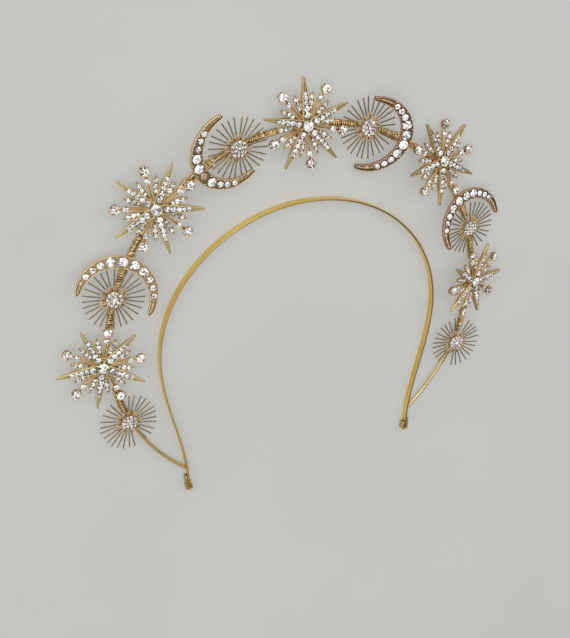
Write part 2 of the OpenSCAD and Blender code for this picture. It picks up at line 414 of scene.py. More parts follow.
@dataclass(frozen=True)
class Halo:
    """Sizes of the halo wire and the band, and the place of the halo's centre.

    Attributes:
        radius: of the wire's middle line.
        wire_radius: of the wire itself.
        end_angle: degrees from the top to each wire end.
        half_width: of the band's middle line at its widest level.
        rise: of the band's top above that level.
        level: that level, from the halo's centre.
        draw_in: how far the legs draw in below it.
        ease: the height over which they do.
        foot: level of the band's ends.
        centre: the halo's centre in the part's frame.
        pivot: height above the wire's plane about which an ornament leans.
    """

    radius: float = 105.0
    wire_radius: float = 1.0
    end_angle: float = 139.5
    half_width: float = 80.0
    rise: float = 76.5
    level: float = -10.0
    draw_in: float = 11.0
    ease: float = 76.0
    foot: float = -92.0
    centre: Tuple[float, float, float] = (2.86, -17.71, 2.0)
    pivot: float = 3.4

    def leg(self, y: Array) -> Array:
        """Half width at level y: half_width less draw_in times a smooth step over the height ease below level."""
        return self.half_width - self.draw_in * eased(share(y, self.level, self.level - self.ease))

    def placed(self, shape: Shape) -> Shape:
        """A shape in the halo's frame, carried to the part's frame."""
        return shape.moved(shift(*self.centre))


@dataclass(frozen=True)
class Place:
    """Where an ornament sits on the halo.

    Attributes:
        angle: degrees clockwise from the top.
        out: distance outside the wire.
        turn: degrees clockwise that the ornament is turned.
        lean_x: lean about the part's X.
        lean_y: lean about the part's Y.
        lift: distance that it stands further forward.
    """

    angle: float
    out: float
    turn: float
    lean_x: float
    lean_y: float
    lift: float = 0.0

    def matrix(self, halo: Halo) -> Array:
        """The 4 x 4 matrix from the ornament's frame to the part's frame."""
        pivot = shift(0.0, halo.radius + self.out, halo.pivot + self.lift)
        stand = turned("Z", -self.angle) @ pivot @ turned("Z", self.angle)
        lean = turned("Y", self.lean_y) @ turned("X", self.lean_x) @ turned("Z", -self.turn)
        return shift(*halo.centre) @ stand @ lean @ shift(0.0, 0.0, -halo.pivot)

    def seat(self, reach: float) -> float:
        """Height, in the ornament's frame, at which a boss of radius reach clears the wire.

        It is 1.4 less the lift, plus reach times the tangent of the whole lean.
        """
        return 1.4 - self.lift + reach * math.tan(math.radians(math.hypot(self.lean_x, self.lean_y)))


# ---------------------------------------------------------------------------------------------- finishes


def operation(name: str, reflected: bool = False) -> Callable[["Wire", Any], "Wire"]:
    """A method for Wire that adds one Math node.

    Args:
        name: the node's operation.
        reflected: True if the other value comes first.

    Returns:
        The method.
    """

    def method(self: "Wire", other: Any) -> "Wire":
        """The result of the operation on the wire and another value."""
        first, second = (other, self) if reflected else (self, other)
        return self.graph.node("ShaderNodeMath", {"operation": name}, {0: first, 1: second})

    return method


class Wire:
    """A node's output that can stand in arithmetic: each operation on it adds a Math node."""

    def __init__(self, graph: "Graph", socket: bpy.types.NodeSocket) -> None:
        """Keeps the graph and the socket."""
        self.graph, self.socket = graph, socket

    __add__ = __radd__ = operation("ADD")
    __mul__ = __rmul__ = operation("MULTIPLY")
    __sub__ = operation("SUBTRACT")
    __rsub__ = operation("SUBTRACT", reflected=True)

    def clamped(self) -> "Wire":
        """The value held between 0 and 1."""
        return self.graph.node("ShaderNodeClamp", {}, {0: self})

    def between(self, low: float, high: float) -> "Wire":
        """0 below low, 1 above high, and smooth between."""
        settings = {"interpolation_type": "SMOOTHSTEP"}
        return self.graph.node("ShaderNodeMapRange", settings, {"Value": self, "From Min": low, "From Max": high})


class Graph:
    """The nodes of one material, or of the room's light."""

    def __init__(self, owner: Union[bpy.types.Material, bpy.types.World]) -> None:
        """Empties the owner's node tree."""
        self.owner = owner
        owner.use_nodes = True
        self.tree = owner.node_tree
        self.tree.nodes.clear()

    def node(
        self, kind: str, settings: Mapping[str, Any], inputs: Mapping[Union[int, str], Any], output: Union[int, str] = 0
    ) -> Wire:
        """Adds any node.

        Args:
            kind: the node's type.
            settings: its properties, set first; stops holds a ramp's (position, colour) pairs.
            inputs: a value or a Wire for each socket, by its name or number.
            output: which output to return.

        Returns:
            That output.
        """
        made = self.tree.nodes.new(kind)
        for key, value in settings.items():
            if key == "stops":
                ramp = made.color_ramp
                while len(ramp.elements) < len(value):
                    ramp.elements.new(0.5)
                for element, (position, colour) in zip(ramp.elements, value):
                    element.position, element.color = position, (*colour, 1.0)
            else:
                setattr(made, key, value)
        for key, value in inputs.items():
            if isinstance(value, Wire):
                self.tree.links.new(value.socket, made.inputs[key])
            else:
                wanted = made.inputs[key]
                four = wanted.type == "RGBA" and len(value) == 3
                wanted.default_value = (*value, 1.0) if four else value
        return Wire(self, made.outputs[output])

    def mix(self, factor: Any, first: Any, second: Any) -> Wire:
        """first where factor is 0 and second where it is 1, as colours."""
        return self.node("ShaderNodeMix", {"data_type": "RGBA"}, {0: factor, 6: first, 7: second}, 2)

    def read(self, name: str, output: str = "Fac") -> Wire:
        """An attribute of the mesh."""
        return self.node("ShaderNodeAttribute", {"attribute_name": name}, {}, output)

    def here(self) -> Wire:
        """Object coordinates, in metres."""
        return self.node("ShaderNodeTexCoord", {}, {}, "Object")

    def noise(self, where: Wire, size_mm: float, detail: float = 2.0) -> Wire:
        """Noise from 0 to 1 whose spots are about size_mm across."""
        return self.node("ShaderNodeTexNoise", {}, {"Vector": where, "Scale": 1.0 / (size_mm * MM), "Detail": detail})

    def stretched(self, where: Wire, scale: Tuple[float, float, float]) -> Wire:
        """Coordinates multiplied by a scale along each axis."""
        return self.node("ShaderNodeMapping", {}, {"Vector": where, "Scale": scale})

    def bump(self, height: Wire, strength: float, depth_mm: float) -> Wire:
        """A normal that follows height."""
        return self.node("ShaderNodeBump", {}, {"Height": height, "Strength": strength, "Distance": depth_mm * MM})

    def surface(self, inputs: Mapping[str, Any]) -> bpy.types.Material:
        """Ends the graph in one Principled shader and returns the material."""
        self.end("ShaderNodeOutputMaterial", self.node("ShaderNodeBsdfPrincipled", {}, inputs))
        return self.owner

    def end(self, kind: str, shader: Wire) -> None:
        """Links a shader to a new output node."""
        last = self.tree.nodes.new(kind)
        self.tree.links.new(shader.socket, last.inputs["Surface"])


@dataclass(frozen=True)
class GoldFinish:
    """A gold plated metal, polished where it is open; deeper in, its colour goes to a painted reflection of itself and
    then to painted shade with patina.

    Attributes:
        slot: the record's slot.
        bright: colour of the open metal.
        warm: colour of its cloudy patches.
        glow: colour halfway into a recess, a painted reflection of the metal mirroring itself.
        shade: colour of the deepest recesses, painted shade with patina.
        polish: roughness of the open metal.
        pattern: how the fine texture lies.
        grain_mm: size of that texture.
        grain: depth of that texture, from 0 to 1.
        cloud_mm: size of the cloudy patches.
    """

    slot: Slot
    bright: Colour
    warm: Colour
    glow: Colour
    shade: Colour
    polish: float
    pattern: Pattern = Pattern.CAST
    grain_mm: float = 0.35
    grain: float = 0.3
    cloud_mm: float = 7.0

    # Size of the tarnish spots, how much they add to the tone, and the height of the fine texture
    SPOT_MM = 1.1
    SPOT_TONE = 0.14
    RELIEF_MM = 0.05
    # Scale that draws a pattern out fifty times along the piece, from millimetres of run length
    DRAW = (0.02 * MM, MM, MM)
    # How much the texture, the depth and the spots add to the roughness
    ROUGHENING = (0.22, 0.18, 0.06)
    # How much less metallic the deepest recess is
    SOOT = 0.25

    def texture(self, g: Graph, here: Wire) -> Tuple[Wire, Wire]:
        """The fine texture and the clouds, each from 0 to 1."""
        if self.pattern is Pattern.CAST:
            return g.noise(here, self.grain_mm, 3.0), g.noise(here, self.cloud_mm).between(0.35, 0.65)
        drawn = g.stretched(g.read("grain", "Vector"), self.DRAW)
        fine, streaks = g.noise(drawn, self.grain_mm, 3.0), g.noise(drawn, self.grain_mm * 5.0)
        return fine, (streaks * 0.6 + g.noise(here, self.cloud_mm) * 0.4).between(0.38, 0.62)

    def material(self) -> bpy.types.Material:
        """Builds the material: clouds blend bright and warm, and the mesh's tone blends in glow, a painted reflection,
        then shade, painted shade with patina.
        """
        g = Graph(bpy.data.materials.new(self.slot.value))
        # deep is the mesh's tone, which places the painted reflection and the painted shade
        here, deep = g.here(), g.read("tone")
        fine, cloud = self.texture(g, here)
        spots = g.noise(here, self.SPOT_MM, 1.0).between(0.6, 0.75)
        colour = g.mix(cloud, self.bright, self.warm)
        depth = deep + spots * self.SPOT_TONE
        colour = g.mix(depth.between(0.0, 0.6), colour, self.glow)
        colour = g.mix(depth.between(0.5, 1.0), colour, self.shade)
        by_texture, by_depth, by_spots = self.ROUGHENING
        rough = self.polish + (fine - 0.5) * by_texture + deep * by_depth + spots * by_spots
        height = fine * 0.8 + g.noise(here, self.grain_mm * 4.0, 1.0) * 0.6
        return g.surface({
            "Base Color": colour,
            "Metallic": 1.0 - deep * self.SOOT,
            "Roughness": rough.clamped(),
            "Normal": g.bump(height, self.grain, self.RELIEF_MM),
        })


@dataclass(frozen=True)
class StoneFinish:
    """Cut glass with a silver back: each facet's colour is a painted reflection, a light or a dark patch of the room,
    and the stone glows a little with painted light.

    Attributes:
        slot: the record's slot.
        stops: the facet's painted reflection colour for its tone.
        flaw_mm: size of the faint flaws.
        flaw: how much they change the tone.
    """

    slot: Slot = Slot.STONE
    stops: Tuple[Tuple[float, Colour], ...] = (
        (0.0, (1.0, 1.0, 0.98)),
        (0.36, (0.96, 0.94, 0.93)),
        (0.46, (0.56, 0.54, 0.56)),
        (0.64, (0.34, 0.32, 0.32)),
        (0.80, (0.14, 0.125, 0.12)),
        (1.0, (0.05, 0.042, 0.036)),
    )
    flaw_mm: float = 0.7
    flaw: float = 0.12

    def material(self) -> bpy.types.Material:
        """Builds the material: the mesh's tone picks a painted reflection colour on a ramp, with a faint flaw pattern,
        and that colour glows faintly as painted light.
        """
        g = Graph(bpy.data.materials.new(self.slot.value))
        flaw = g.noise(g.here(), self.flaw_mm, 1.0)
        tone = (g.read("tone") + (flaw - 0.5) * self.flaw).clamped()
        colour = g.node("ShaderNodeValToRGB", {"stops": self.stops}, {"Fac": tone}, "Color")
        return g.surface({
            "Base Color": colour,
            "Metallic": 0.25,
            "Roughness": 0.10 + flaw * 0.06,
            "Coat Weight": 1.0,
            "Coat Roughness": 0.03,
            # The facets glow faintly in their painted reflection colour: painted light
            "Emission Color": colour,
            "Emission Strength": 0.2,
        })


@dataclass(frozen=True)
class FloorFinish:
    """Plain pale painted board.

    Attributes:
        colour: the board.
        other: its faint clouds.
        cloud_mm: size of the clouds.
        grain_mm: size of the paint's grain.
        glow: share of its brightness that comes from within, as on a light table.
    """

    colour: Colour = (0.60, 0.60, 0.575)
    other: Colour = (0.575, 0.575, 0.56)
    cloud_mm: float = 160.0
    grain_mm: float = 1.2
    glow: float = 0.5

    def material(self) -> bpy.types.Material:
        """Builds the material."""
        g = Graph(bpy.data.materials.new("floor"))
        here = g.here()
        cloud = g.noise(here, self.cloud_mm, 3.0).between(0.3, 0.7)
        fine = g.noise(here, self.grain_mm)
        dim, other_dim = (tuple((1.0 - self.glow) * c for c in paint) for paint in (self.colour, self.other))
        return g.surface({
            "Base Color": g.mix(cloud, dim, other_dim),
            "Roughness": 0.82 + fine * 0.1,
            "Normal": g.bump(fine, 0.08, 0.1),
            "Emission Color": g.mix(cloud, self.colour, self.other),
            "Emission Strength": 0.95 * self.glow,
        })


BAND_GOLD = GoldFinish(
    Slot.BAND, (1.0, 0.77, 0.28), (0.84, 0.57, 0.14), (0.50, 0.33, 0.09), (0.20, 0.12, 0.035),
    0.24, Pattern.DRAWN, 0.12, 0.08, 30.0,
)
TIP_GOLD = GoldFinish(
    Slot.TIP, (0.62, 0.50, 0.20), (0.50, 0.35, 0.14), (0.34, 0.20, 0.07), (0.09, 0.06, 0.02),
    0.24, Pattern.DRAWN, 0.2, 0.15, 3.0,
)
ROD_GOLD = GoldFinish(
    Slot.ROD, (0.86, 0.68, 0.36), (0.70, 0.53, 0.24), (0.38, 0.25, 0.09), (0.16, 0.10, 0.035),
    0.25, Pattern.DRAWN, 0.12, 0.12, 12.0,
)
CRAFT_GOLD = GoldFinish(
    Slot.CRAFT, (0.97, 0.76, 0.42), (0.80, 0.57, 0.27), (0.44, 0.27, 0.11), (0.12, 0.07, 0.03),
    0.24, Pattern.DRAWN, 0.1, 0.12, 2.0,
)
ROSE_GOLD = GoldFinish(
    Slot.ROSE, (0.96, 0.80, 0.57), (0.86, 0.66, 0.43), (0.58, 0.36, 0.25), (0.21, 0.11, 0.065), 0.27,
)
LEAF_GOLD = GoldFinish(
    Slot.ROSE, (0.96, 0.82, 0.57), (0.87, 0.68, 0.42), (0.60, 0.43, 0.24), (0.19, 0.12, 0.06), 0.25,
)
OLD_GOLD = GoldFinish(
    Slot.OLD, (0.94, 0.85, 0.57), (0.83, 0.72, 0.43), (0.57, 0.46, 0.24), (0.18, 0.14, 0.065), 0.26,
)
AGED_GOLD = GoldFinish(
    Slot.OLD, (0.90, 0.75, 0.47), (0.78, 0.60, 0.33), (0.52, 0.37, 0.19), (0.15, 0.10, 0.05), 0.26,
)
RHINESTONE = StoneFinish()
Finish = Union[GoldFinish, StoneFinish]
# Angle in degrees past which an edge stays sharp: on a casting, on the strip, and on a cut stone
CAST_CREASE, STRIP_CREASE, STONE_CREASE = 65.0, 50.0, 4.0


# ---------------------------------------------------------------------------------------------- the bench


@dataclass
class Bench:
    """Makes pieces from surfaces, and keeps each finish's material once.

    Attributes:
        halo: the sizes that all the pieces share.
    """

    halo: Halo

    def __post_init__(self) -> None:
        """Starts with no materials made."""
        self.materials: Dict[Finish, bpy.types.Material] = {}

    def mesh(self, name: str, shape: Shape) -> bpy.types.Mesh:
        """A Blender mesh in metres, with the tone on its faces and the grain on its points."""
        mesh = bpy.data.meshes.new(name)
        quads, tris = len(shape.quads), len(shape.tris)
        corners = np.concatenate([shape.quads.ravel(), shape.tris.ravel()]).astype(np.int32)
        starts = np.concatenate([np.arange(quads) * 4, quads * 4 + np.arange(tris) * 3]).astype(np.int32)
        mesh.vertices.add(len(shape.points))
        mesh.vertices.foreach_set("co", (shape.points * MM).astype(np.float32).ravel())
        mesh.loops.add(len(corners))
        mesh.loops.foreach_set("vertex_index", corners)
        mesh.polygons.add(quads + tris)
        mesh.polygons.foreach_set("loop_start", starts)
        mesh.polygons.foreach_set("use_smooth", np.ones(quads + tris, bool))
        mesh.update(calc_edges=True)
        tone = mesh.attributes.new("tone", "FLOAT", "FACE")
        tone.data.foreach_set("value", np.concatenate([shape.quad_tone, shape.tri_tone]).astype(np.float32))
        grain = mesh.attributes.new("grain", "FLOAT_VECTOR", "POINT")
        grain.data.foreach_set("vector", shape.grain.astype(np.float32).ravel())
        return mesh

    def piece(
        self, name: str, shape: Shape, finish: Finish, stands_for: Sequence[str] = (), crease: float = CAST_CREASE
    ) -> None:
        """Makes one piece of the headpiece, which rides on the only body.

        Args:
            name: the piece's name.
            shape: its surface, in the part's frame.
            finish: its finish.
            stands_for: the CAD nodes that it replaces.
            crease: angle in degrees past which an edge stays sharp.
        """
        mesh = self.mesh(name, shape)
        mesh.set_sharp_from_angle(angle=math.radians(crease))
        piece = bpy.data.objects.new(name, mesh)
        bpy.context.scene.collection.objects.link(piece)
        if finish not in self.materials:
            self.materials[finish] = finish.material()
        mesh.materials.append(self.materials[finish])
        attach(piece, "root")
        if stands_for:
            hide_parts(*stands_for)
        LOG.info("%s: %d faces, %s", name, len(mesh.polygons), finish.slot.value)


# ---------------------------------------------------------------------------------------------- stones and beads


def cut_stone() -> Shape:
    """A round cut stone of radius 1 with its girdle at height 0.

    Around a slightly raised middle lies the table, eight points at radius 0.52; eight points halfway between them
    at radius 0.8; sixteen on the girdle at radius 1; and one below. Table, star, kite and girdle facets join them.
    """

    def belt(count: int, radius: float, height: float, turn: float = 0.0) -> Array:
        """Points (r cos t, r sin t, height) spread evenly round the stone."""
        t = np.arange(count) * TAU / count + turn
        return np.stack([radius * np.cos(t), radius * np.sin(t), np.full(count, height)], -1)

    table, kites, girdle = belt(8, 0.52, 0.40), belt(8, 0.80, 0.25, TAU / 16), belt(16, 1.0, 0.0)
    points = np.concatenate([table, kites, girdle, [[0.0, 0.0, 0.43], [0.0, 0.0, -0.3]]])
    crown, below = 32, 33
    k, j = np.arange(8), np.arange(16)
    t, b, g = k, 8 + k, 16 + 2 * k
    after, g_next, g_after = (k + 1) % 8, g + 1, 16 + (2 * k + 2) % 16
    quads = np.stack([t, 8 + (k - 1) % 8, g, b], -1)
    tris = np.concatenate([
        np.stack([np.full(8, crown), t, after], -1),
        np.stack([t, b, after], -1),
        np.stack([b, g, g_next], -1),
        np.stack([b, g_next, g_after], -1),
        np.stack([16 + (j + 1) % 16, 16 + j, np.full(16, below)], -1),
    ])
    return Shape(points, quads, tris, np.zeros(8), np.zeros(len(tris)), points).outward()


def bead() -> Shape:
    """A round bead of radius 1: three rings of six points between two poles."""
    latitudes = np.radians([-48.0, 0.0, 48.0])
    return lathe(np.stack([np.cos(latitudes), np.sin(latitudes)], -1), 6, poles=(-1.0, 1.0))


CUT_STONE = cut_stone()
BEAD = bead()


def stones(
    centres: Array, widths: Array, rng: np.random.Generator, lean: float = 9.0,
    outward: Optional[Array] = None, dim: float = 0.0,
) -> Shape:
    """Sets cut stones.

    Each is turned at random about its own axis and leans at random up to lean degrees. About half of its facets
    get a bright painted reflection, and the rest go from grey to dark.

    Args:
        centres: (k, 3) places of the girdles' middles.
        widths: (k,) stone diameters.
        rng: the source of chance.
        lean: the largest random lean.
        outward: (k, 4, 4) turns to lean each stone by in the end.
        dim: how much darker than usual they all are.

    Returns:
        All the stones as one surface.
    """
    count = len(centres)
    turn, tilt, face = (spun(axis, rng.uniform(0, most, count)) for axis, most in ((2, 360), (0, lean), (2, 360)))
    tip = turn @ tilt @ face if outward is None else outward @ turn @ tilt @ face
    cast = dim + rng.uniform(-0.16, 0.14, (count, 1))

    def facets(number: int) -> Array:
        """Random painted reflection tones for that many facets of each stone, bright ones more often, about the stone's
        own cast.
        """
        return np.clip(rng.uniform(0.0, 1.0, (count, number)) ** 1.1 + cast, 0.0, 1.0)

    tones = facets(len(CUT_STONE.quads)), facets(len(CUT_STONE.tris))
    return CUT_STONE.copies(scaled(centres, widths / 2.0) @ tip, tones)


def beads(centres: Array, radii: Union[float, Array], tall: float = 1.0) -> Shape:
    """Beads at the centres, (k, 3), their height tall times their width."""
    r = np.broadcast_to(radii, (len(centres),))
    return BEAD.copies(scaled(centres, np.stack([r, r, r * tall], -1)))


# ---------------------------------------------------------------------------------------------- band and wire


@dataclass
class Headband:
    """The flat strip over the head, with a folded clip on each end.

    Attributes:
        bench: makes the pieces.
        width: of the strip, front to back.
        clip_length: of the clip's outer limb.
        clip_wall: thickness of the clip.
        clip_gap: clearance between clip and strip.
        bend: radius of the clip's two bends.
        flare: how far its inner limb flares at the foot.
        blunt: length over which its free ends close.
    """

    bench: Bench
    width: float = 4.0
    clip_length: float = 9.2
    clip_wall: float = 1.1
    clip_gap: float = 0.1
    bend: float = 0.7
    flare: float = 0.55
    blunt: float = 0.6

    # Half of the strip's thickness
    HALF_STRIP = 0.5
    # Distance out from the middle line and distance from the rear edge, round the strip's section and the clip's
    STRIP_SECTION = np.array([
        (0.34, 0.03), (0.44, 0.16), (0.47, 0.55), (0.50, 1.25), (0.51, 2.00), (0.50, 2.75), (0.47, 3.45),
        (0.44, 3.84), (0.34, 3.97), (0.15, 4.00), (-0.15, 4.00), (-0.36, 3.97), (-0.46, 3.84), (-0.48, 3.3),
        (-0.48, 2.0), (-0.48, 0.7), (-0.46, 0.16), (-0.36, 0.03), (-0.15, 0.00), (0.15, 0.00),
    ])
    CLIP_SECTION = np.array([
        (0.3, 0.02), (0.5, 0.2), (0.55, 0.6), (0.55, 2.0), (0.55, 3.4), (0.5, 3.8), (0.3, 3.98),
        (-0.3, 3.98), (-0.5, 3.8), (-0.55, 3.4), (-0.55, 2.0), (-0.55, 0.6), (-0.5, 0.2), (-0.3, 0.02),
    ])
    # Tones round the clip's section: painted shade on one side and most on the rear face
    CLIP_TONES = np.array([0.3, 0.1, 0.0, 0.0, 0.0, 0.0, 0.0, 0.0, 0.1, 0.3, 0.3, 0.3, 0.3, 0.5])
    # Scale of the clip's section from front to back, and how far forward it sits
    CLIP_SCALE, CLIP_FORWARD = 1.94 / 1.98, 0.08
    # Columns on the strip's front edge
    FRONT_EDGE = slice(7, 12)

    def middle_line(self) -> Array:
        """The strip's middle line: up the left leg, over half an ellipse, and down the right leg."""
        halo = self.bench.halo
        y = np.linspace(halo.foot, halo.level, 40, endpoint=False)
        a = np.radians(np.linspace(-90.0, 90.0, 141))
        left = np.stack([-halo.leg(y), y], -1)
        arch = np.stack([halo.half_width * np.sin(a), halo.level + halo.rise * np.cos(a)], -1)
        right = left[::-1] * (-1.0, 1.0)
        return np.concatenate([left, arch, right])

    def strip(self) -> Shape:
        """Carries a strip with rounded edges and a slightly crowned outer face along the middle line.

        Its front edge is given painted shade, most of all over the right half.
        """
        line = self.middle_line()
        size = len(line), len(self.STRIP_SECTION)
        lateral, height = (np.broadcast_to(column, size) for column in self.STRIP_SECTION.T)
        tone = np.zeros(size)
        # Painted shade on the front edge, rising towards the right half
        tone[:, self.FRONT_EDGE] = 0.35 + 0.45 * share(line[:, :1], 0.0, 25.0)
        return strap(line, lateral, height - self.width / 2.0, tone)

    def clip(self, side: int) -> Shape:
        """Carries a rounded section along a folded path: down outside the strip, round its end, and up inside.

        The limb's free ends close in a quarter ellipse, and the inner limb flares a little at the foot.

        Args:
            side: 1 for the right leg and -1 for the left.

        Returns:
            The clip, in the halo's frame.
        """
        foot, bend = self.bench.halo.foot, self.bend
        limb = self.HALF_STRIP + self.clip_gap + self.clip_wall / 2.0
        top = foot + self.clip_length - self.clip_wall
        low = foot - self.clip_gap - self.clip_wall / 2.0
        t = np.radians(np.linspace(0.0, 90.0, 7))
        down = np.stack([np.full(14, limb), np.linspace(top + 0.5, low + bend, 14)], -1)
        first = np.stack([limb - bend + bend * np.cos(t), low + bend - bend * np.sin(t)], -1)[1:]
        second = np.stack([-limb - self.flare + bend - bend * np.sin(t), low + bend - bend * np.cos(t)], -1)
        up = np.linspace(low + bend, foot + self.clip_length * 0.6 - self.clip_wall, 10)[1:]
        inner = np.stack([-limb - self.flare * np.linspace(1.0, 0.0, 10)[1:] ** 1.5, up], -1)
        line = np.concatenate([down, first, second, inner])
        line = line * (side, 1.0) + (side * float(self.bench.halo.leg(np.array(foot))), 0.0)
        steps = run_length(line)
        nose = rounding(1.0 - share(np.minimum(steps, steps[-1] - steps), 0.0, self.blunt), 0.02)[:, None]
        out, back = self.CLIP_SECTION.T
        height = (back - self.width / 2.0) * self.CLIP_SCALE * (0.55 + 0.45 * nose) + self.CLIP_FORWARD
        return strap(line, out * nose, height, self.CLIP_TONES)

    def build(self) -> None:
        """Makes the strip and both clips."""
        halo = self.bench.halo
        self.bench.piece("band_strip", halo.placed(self.strip()), BAND_GOLD, ["headband"], STRIP_CREASE)
        for name, side in (("left", -1), ("right", 1)):
            self.bench.piece(f"band_clip_{name}", halo.placed(self.clip(side)), TIP_GOLD, [f"band_tip_{name}"])


@dataclass
class HaloRod:
    """The round wire of the halo.

    Attributes:
        bench: makes the pieces.
        stations: rows along the wire.
        sides: points around it.
        legs_below: level under which the wire may meet the band's legs.
        shadow: tone of the stretches under the craft wire.
    """

    bench: Bench
    stations: int = 420
    sides: int = 20
    legs_below: float = -60.0
    shadow: float = 0.95

    def rod(self) -> Shape:
        """Carries a circle round the halo, and cuts its ends along the outside of the band's legs.

        Where a point would lie inside a leg, its X is moved out to the leg's outer face.
        """
        halo = self.bench.halo
        a = np.linspace(-halo.end_angle, halo.end_angle, self.stations)
        starts, ends = np.array([wrap[:2] for wrap in WRAPS]).T
        under = np.any((a[:, None] > starts) & (a[:, None] < ends), 1)
        rod = tube(polar(a, halo.radius, 0.0), halo.wire_radius, self.sides, FRONT, self.shadow * under[:, None])
        x, y = rod.points[:, 0], rod.points[:, 1]
        clear = np.sign(x) * np.maximum(np.abs(x), halo.leg(y) + Headband.HALF_STRIP)
        rod.points[:, 0] = np.where(y < self.legs_below, clear, x)
        return rod

    def build(self) -> None:
        """Makes the wire."""
        self.bench.piece("halo_rod", self.bench.halo.placed(self.rod()), ROD_GOLD, ["halo_wire"])


@dataclass(frozen=True)
class Winding:
    """One layer of craft wire.

    Attributes:
        wire: radius of the craft wire.
        reach: distance between its middle and the halo wire's.
        pitch: length of one turn.
        sway: how much the reach changes along the layer.
        age: tone of the wire's outer side, which has browned.
    """

    wire: float
    reach: float
    pitch: float
    sway: float
    age: float


@dataclass
class CraftWrap:
    """Craft wire wound round a stretch of the halo wire.

    Attributes:
        bench: makes the pieces.
        number: which wrap this is.
        first: angle on the halo where it starts.
        last: angle where it ends.
        first_end: how it starts.
        last_end: how it ends.
    """

    bench: Bench
    number: int
    first: float
    last: float
    first_end: WrapEnd
    last_end: WrapEnd

    TURNS = Winding(wire=0.37, reach=1.40, pitch=1.04, sway=0.03, age=0.24)
    OVERLAY = Winding(wire=0.24, reach=1.83, pitch=3.3, sway=0.06, age=0.08)
    BUNDLE = Winding(wire=0.34, reach=2.06, pitch=0.92, sway=0.04, age=0.05)
    # Degrees by which the overlay and the middle of an end's eyelet or bundle stay inside the wrap
    OVERLAY_INSET, END_INSET = 0.4, 1.0
    # Half of the angle that a bundle covers
    BUNDLE_HALF = 0.95
    # Level, from the halo wire's middle, that the wire at its back stays above
    BACK = -1.9
    # Points round the wire, and stations on each turn
    SIDES, STATIONS = 7, 14
    # Radius of the straight strand, and its distance from the halo wire's middle
    STRAND, STRAND_REACH = 0.22, 1.86

    def helix(self, first: float, last: float, layer: Winding) -> Shape:
        """Winds one layer round the halo wire.

        At length s the wire's middle is the halo's middle line plus the reach times (cos p outward plus sin p
        forward), where p is 2 pi s / pitch with two sways, and the reach sways a little too. Behind the halo it
        is pressed flat, so that it stays off the floor.

        Args:
            first: angle on the halo where it starts.
            last: angle where it ends.
            layer: how it is wound.

        Returns:
            The wound wire.
        """
        halo, n = self.bench.halo, self.number
        span = math.radians(last - first) * halo.radius
        s = np.linspace(0.0, span, max(12, int(span / layer.pitch * self.STATIONS)))
        a = np.radians(first) + s / halo.radius
        p = TAU * s / layer.pitch + n + 0.75 * np.sin(2.5 * s + n) + 0.8 * np.sin(0.9 * s + 2.0 * n)
        outward = np.stack([np.sin(a), np.cos(a), 0.0 * a], -1)
        spoke = np.cos(p)[:, None] * outward + np.sin(p)[:, None] * FRONT
        reach = layer.reach + layer.sway * np.sin(1.9 * s + 2.3 * n)
        path = outward * halo.radius + reach[:, None] * spoke
        path[:, 2] = np.maximum(path[:, 2], layer.wire + self.BACK)
        # Painted shade on the side of the wire that faces the halo wire, none on its outer side
        inward = 0.5 - 0.5 * np.cos((np.arange(self.SIDES) + 0.5) * TAU / self.SIDES)
        patch = layer.age * (0.6 + 0.6 * np.sin(1.3 * s + n))
        tone = np.clip(patch[:, None] + (1.0 - layer.age) * inward, 0.0, 1.0)
        return tube(path, layer.wire, self.SIDES, spoke, tone)

    def strand(self) -> Shape:
        """A straight strand that runs along the front of the wrap."""
        a = np.linspace(self.first + 0.2, self.last - 0.2, 24)
        side = np.radians(30.0 + 30.0 * math.sin(self.number * 1.7) + 20.0 * np.sin(a * 0.7))
        radius = self.bench.halo.radius + self.STRAND_REACH * np.sin(side)
        return tube(polar(a, radius, self.STRAND_REACH * np.cos(side)), self.STRAND, self.SIDES, FRONT)

    def eyelet(self, angle: float) -> Shape:
        """A ring of wire on the front of the wrap, of not quite two turns, with both ends tucked in."""
        t = np.linspace(0.0, 1.0, 56)
        turn = 1.9 * TAU * t + self.number
        r = 1.24 + 0.42 * t
        rise = 2.15 - 0.7 * np.exp(-16.0 * t) - 0.7 * np.exp(-16.0 * (1.0 - t)) + 0.1 * np.sin(turn)
        path = np.stack([r * np.sin(turn), self.bench.halo.radius + r * np.cos(turn), rise], -1)
        return tube(path, 0.4, 8, FRONT).moved(turned("Z", -angle))

    def end(self, kind: WrapEnd, angle: float) -> Sequence[Shape]:
        """What is added at one end: nothing, an eyelet, or a second layer of turns."""
        if kind is WrapEnd.EYELET:
            return [self.eyelet(angle)]
        if kind is WrapEnd.BUNDLE:
            return [self.helix(angle - self.BUNDLE_HALF, angle + self.BUNDLE_HALF, self.BUNDLE)]
        return []

    def build(self) -> None:
        """Makes the whole wrap as one piece of wire."""
        shape = self.bench.halo.placed(joined([
            self.helix(self.first, self.last, self.TURNS),
            self.helix(self.first + self.OVERLAY_INSET, self.last - self.OVERLAY_INSET, self.OVERLAY),
            self.strand(),
            *self.end(self.first_end, self.first + self.END_INSET),
            *self.end(self.last_end, self.last - self.END_INSET),
        ]))
        self.bench.piece(f"wrap_{self.number}_coil", shape, CRAFT_GOLD, [f"wire_wrap_{self.number}"])


# ---------------------------------------------------------------------------------------------- ornaments


